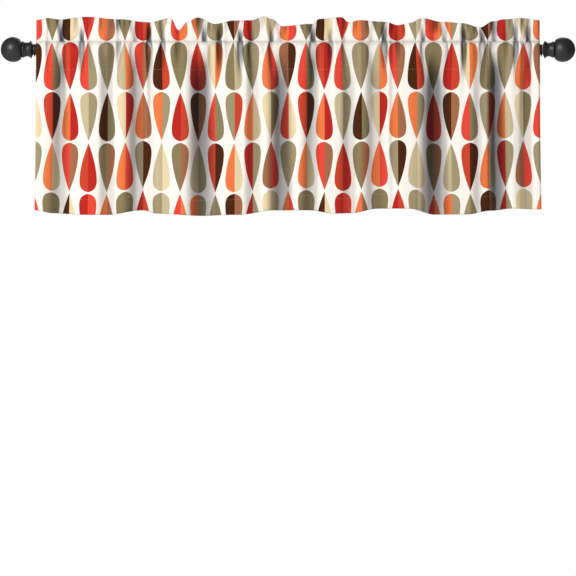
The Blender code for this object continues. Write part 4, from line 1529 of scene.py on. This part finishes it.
def side_hem(sign):
    """The turned-in edge of the cloth: round the side and back behind the sheet for an inch."""
    inward = inward_from(sign)
    chosen = np.nonzero(inward <= SIDE_HEM_WIDTH)[0]
    if sign > 0:
        chosen = chosen[::-1]
    strip = cloth[hem_rows][:, chosen]
    edge = strip[:, :1]
    around = [edge + (sign * FOLD_OUT * out, back * SEWN_GAP, 0) for out, back in ((0.0, 0.0), (1.0, 0.5))]
    behind = strip + (0, SEWN_GAP, 0)
    points = np.concatenate(around + [behind], axis=1)
    turn = [np.full(edge.shape[:2], -used) for used in (0.0, FOLD_CLOTH)]
    beyond = np.broadcast_to(-inward[chosen] - 2 * FOLD_CLOTH, behind.shape[:2])
    us = np.concatenate(turn + [beyond], axis=1)
    vs = np.repeat(sheet_v[hem_rows, :1], points.shape[1], axis=1)
    if sign > 0:
        us = FLAT_WIDTH - us
        points, us, vs = points[:, ::-1], us[:, ::-1], vs[:, ::-1]
    return points, us, vs


hems = {}
for side, sign in SIDES.items():
    points, us, vs = side_hem(sign)
    opens = np.ones(points.shape[:2])
    hems[side] = cloth_piece(
        "side_hem_cloth_" + side, points, us, vs, opens, [cotton_back, printed_cotton]
    )
print("side hems have", [len(hem.data.polygons) for hem in hems.values()], "faces")

# %% [markdown]
# ## Stitches
#
# The valance is sewn with rows of lockstitch: one along each seam, one along the top of the hem
# and one down each side hem. A row of stitches is a line on the cloth, a repeat length and one
# small stitch, which is what instances on a curve are for. The tree resamples the line at the
# stitch length, lays a short round thread along it at each point, a little uneven as a machine
# leaves it, and makes the copies real.

# %% Thread finish and stitch tree
STITCH = 0.0032  # from one needle hole to the next
THREAD_RADIUS = 0.00014
STITCH_SHARE = 0.43  # half a stitch's length, as a share of the pitch
UNEVEN = (0.88, 1.08)  # shortest and longest stitch

# Spun polyester thread: matt and slightly fuzzy, with the twist of its two plies. The grooves of
# the twist are painted darker, as shade, where the bump is lowest.
thread_finish, weave, shader = new_material(
    "twisted_polyester_thread", Roughness=0.72, Sheen_Weight=0.2, Sheen_Roughness=0.4
)
place = add(weave, "ShaderNodeTexCoord")
twist = add(
    weave, "ShaderNodeTexWave", {"bands_direction": "DIAGONAL"}, Vector=place.outputs["Object"],
    Scale=1 / (3 * THREAD_RADIUS), Distortion=1.0,
)
# Painted shade: the ramp is darker where the twist's wave is low, in its grooves.
painted_twist_shade = add(weave, "ShaderNodeValToRGB", Fac=twist.outputs["Fac"])
for stop, tint in zip(painted_twist_shade.color_ramp.elements, ("#B9AF9D", "#D8CFBE")):
    stop.color = linear(tint)
relief = add(weave, "ShaderNodeBump", Strength=0.5, Distance=0.0001, Height=twist.outputs["Fac"])
weave.links.new(painted_twist_shade.outputs[0], shader.inputs["Base Color"])
weave.links.new(relief.outputs[0], shader.inputs["Normal"])

stitching, given = start_tree("stitch_row", Pitch="Float", Thread="Float", Seed="Int", Finish="Material")
seam_line = add(stitching, "GeometryNodeMeshToCurve", Mesh=given.outputs["Geometry"])
holes = add(
    stitching, "GeometryNodeResampleCurve", {"mode": "LENGTH"}, Curve=seam_line.outputs[0],
    Length=given.outputs["Pitch"],
)
one_stitch = add(stitching, "GeometryNodeMeshUVSphere", Segments=6, Rings=5, Radius=1.0)
heading = add(stitching, "GeometryNodeInputTangent")
turn = add(stitching, "FunctionNodeAlignRotationToVector", {"axis": "Z"}, Vector=heading.outputs[0])
half_stitch = add(stitching, "ShaderNodeMath", TIMES, in_0=given.outputs["Pitch"], in_1=STITCH_SHARE)
uneven = add(
    stitching, "FunctionNodeRandomValue", {"data_type": "FLOAT"}, in_2=UNEVEN[0], in_3=UNEVEN[1],
    Seed=given.outputs["Seed"],
)
reach_out = add(stitching, "ShaderNodeMath", TIMES, in_0=half_stitch.outputs[0], in_1=uneven.outputs[1])
shape = add(
    stitching, "ShaderNodeCombineXYZ", X=given.outputs["Thread"], Y=given.outputs["Thread"],
    Z=reach_out.outputs[0],
)
laid = add(
    stitching, "GeometryNodeInstanceOnPoints", Points=holes.outputs[0], Instance=one_stitch.outputs["Mesh"],
    Rotation=turn.outputs[0], Scale=shape.outputs[0],
)
end_tree(stitching, laid.outputs[0], given.outputs["Finish"])
print("stitches of", STITCH / MM, "mm")

# %% [markdown]
# ## Sewing
#
# A lockstitch shows on both faces of the cloth, so each seam is two lines of stitches, one in
# front and one behind. The lines are rows and columns of the sheet itself, moved out along its
# normal to the surface, so the thread follows every fold that it was sewn through.

# %% Sew the seams
ON_CLOTH = 0.00028  # from the cloth's middle to the thread's, which is pulled half into it
HEM_LAYERS = 0.0022  # from the skirt's front layer to the back of its turned-up hem
INSIDE_HEM = 0.0020  # from a hem's inner edge to its stitches
AWAY = {"front": 1.0, "back": -1.0}


def seam_row(row, face, lift=0.0):
    """A line along one row of the sheet, standing off its front or back."""
    points = cloth[row]
    run = np.gradient(points[:, :2], axis=0)
    run /= np.maximum(np.hypot(run[:, 0], run[:, 1]), 1e-9)[:, None]
    line = points.copy()
    line[:, 0] += AWAY[face] * (ON_CLOTH + lift) * run[:, 1]
    line[:, 1] -= AWAY[face] * (ON_CLOTH + lift) * run[:, 0]
    return line


def sew(name, lines, seed):
    """One piece of stitching along the given lines."""
    points, edges = [], []
    for line in lines:
        first = len(points)
        points += [tuple(p) for p in line]
        edges += [(i, i + 1) for i in range(first, len(points) - 1)]
    return run_tree(
        stitching, name, points, edges, Pitch=STITCH, Thread=THREAD_RADIUS, Seed=seed,
        Finish=thread_finish,
    )


hem_line = HEM_TOP - INSIDE_HEM
hem_row = int(top_row + np.argmin(np.abs(path_rows[top_row:bottom_row, 1] - hem_line)))
side_lines = {}
for side, sign in SIDES.items():
    column = int(np.argmin(np.abs(inward_from(sign) - (SIDE_HEM_WIDTH - INSIDE_HEM))))
    line = cloth[hem_rows][:, column]
    side_lines[side] = [line - (0, ON_CLOTH, 0), line + (0, SEWN_GAP + ON_CLOTH, 0)]
header_lines = [seam_row(front_seam_row, "front"), seam_row(back_seam_row, "front")]
pocket_lines = [seam_row(pocket_seam_row, "front"), seam_row(pocket_seam_row, "back", SEWN_GAP)]
hem_lines = [seam_row(hem_row, "front"), seam_row(hem_row, "back", HEM_LAYERS)]
header_stitches = sew("header_seam_stitches", header_lines, 1)
pocket_stitches = sew("pocket_seam_stitches", pocket_lines, 2)
hem_stitches = sew("hem_stitches", hem_lines, 3)
side_stitches = {side: sew("side_hem_stitches_" + side, lines, 4) for side, lines in side_lines.items()}
print("header seam has", len(header_stitches.data.polygons), "faces of thread")

# %% [markdown]
# ## Hanging the cloth
#
# The pocket slides along the rod, and the skirt swings below it. They are one sheet, which is
# left where it was built, with its side hems and their stitches. The stitches of the two seams
# ride with the pocket, and those of the hem with the skirt.

# %% Fix the sheet in place and hang the stitches on their bodies
for piece in (valance, *hems.values(), *side_stitches.values()):
    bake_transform(piece)
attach(header_stitches, "valance_pocket")
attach(pocket_stitches, "valance_pocket")
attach(hem_stitches, "valance_skirt")
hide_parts("header_frill", "rod_pocket", "valance_skirt", "bottom_hem")
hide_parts("header_seam_thread")
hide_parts("pocket_seam_thread")
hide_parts("hem_stitching")
for side in SIDES:
    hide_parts("side_hem_" + side)
    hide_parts("side_stitching_" + side)
print("sheet of", FLAT_WIDTH, "by", round(float(path_length[-1]), 3), "m hung on the rod")
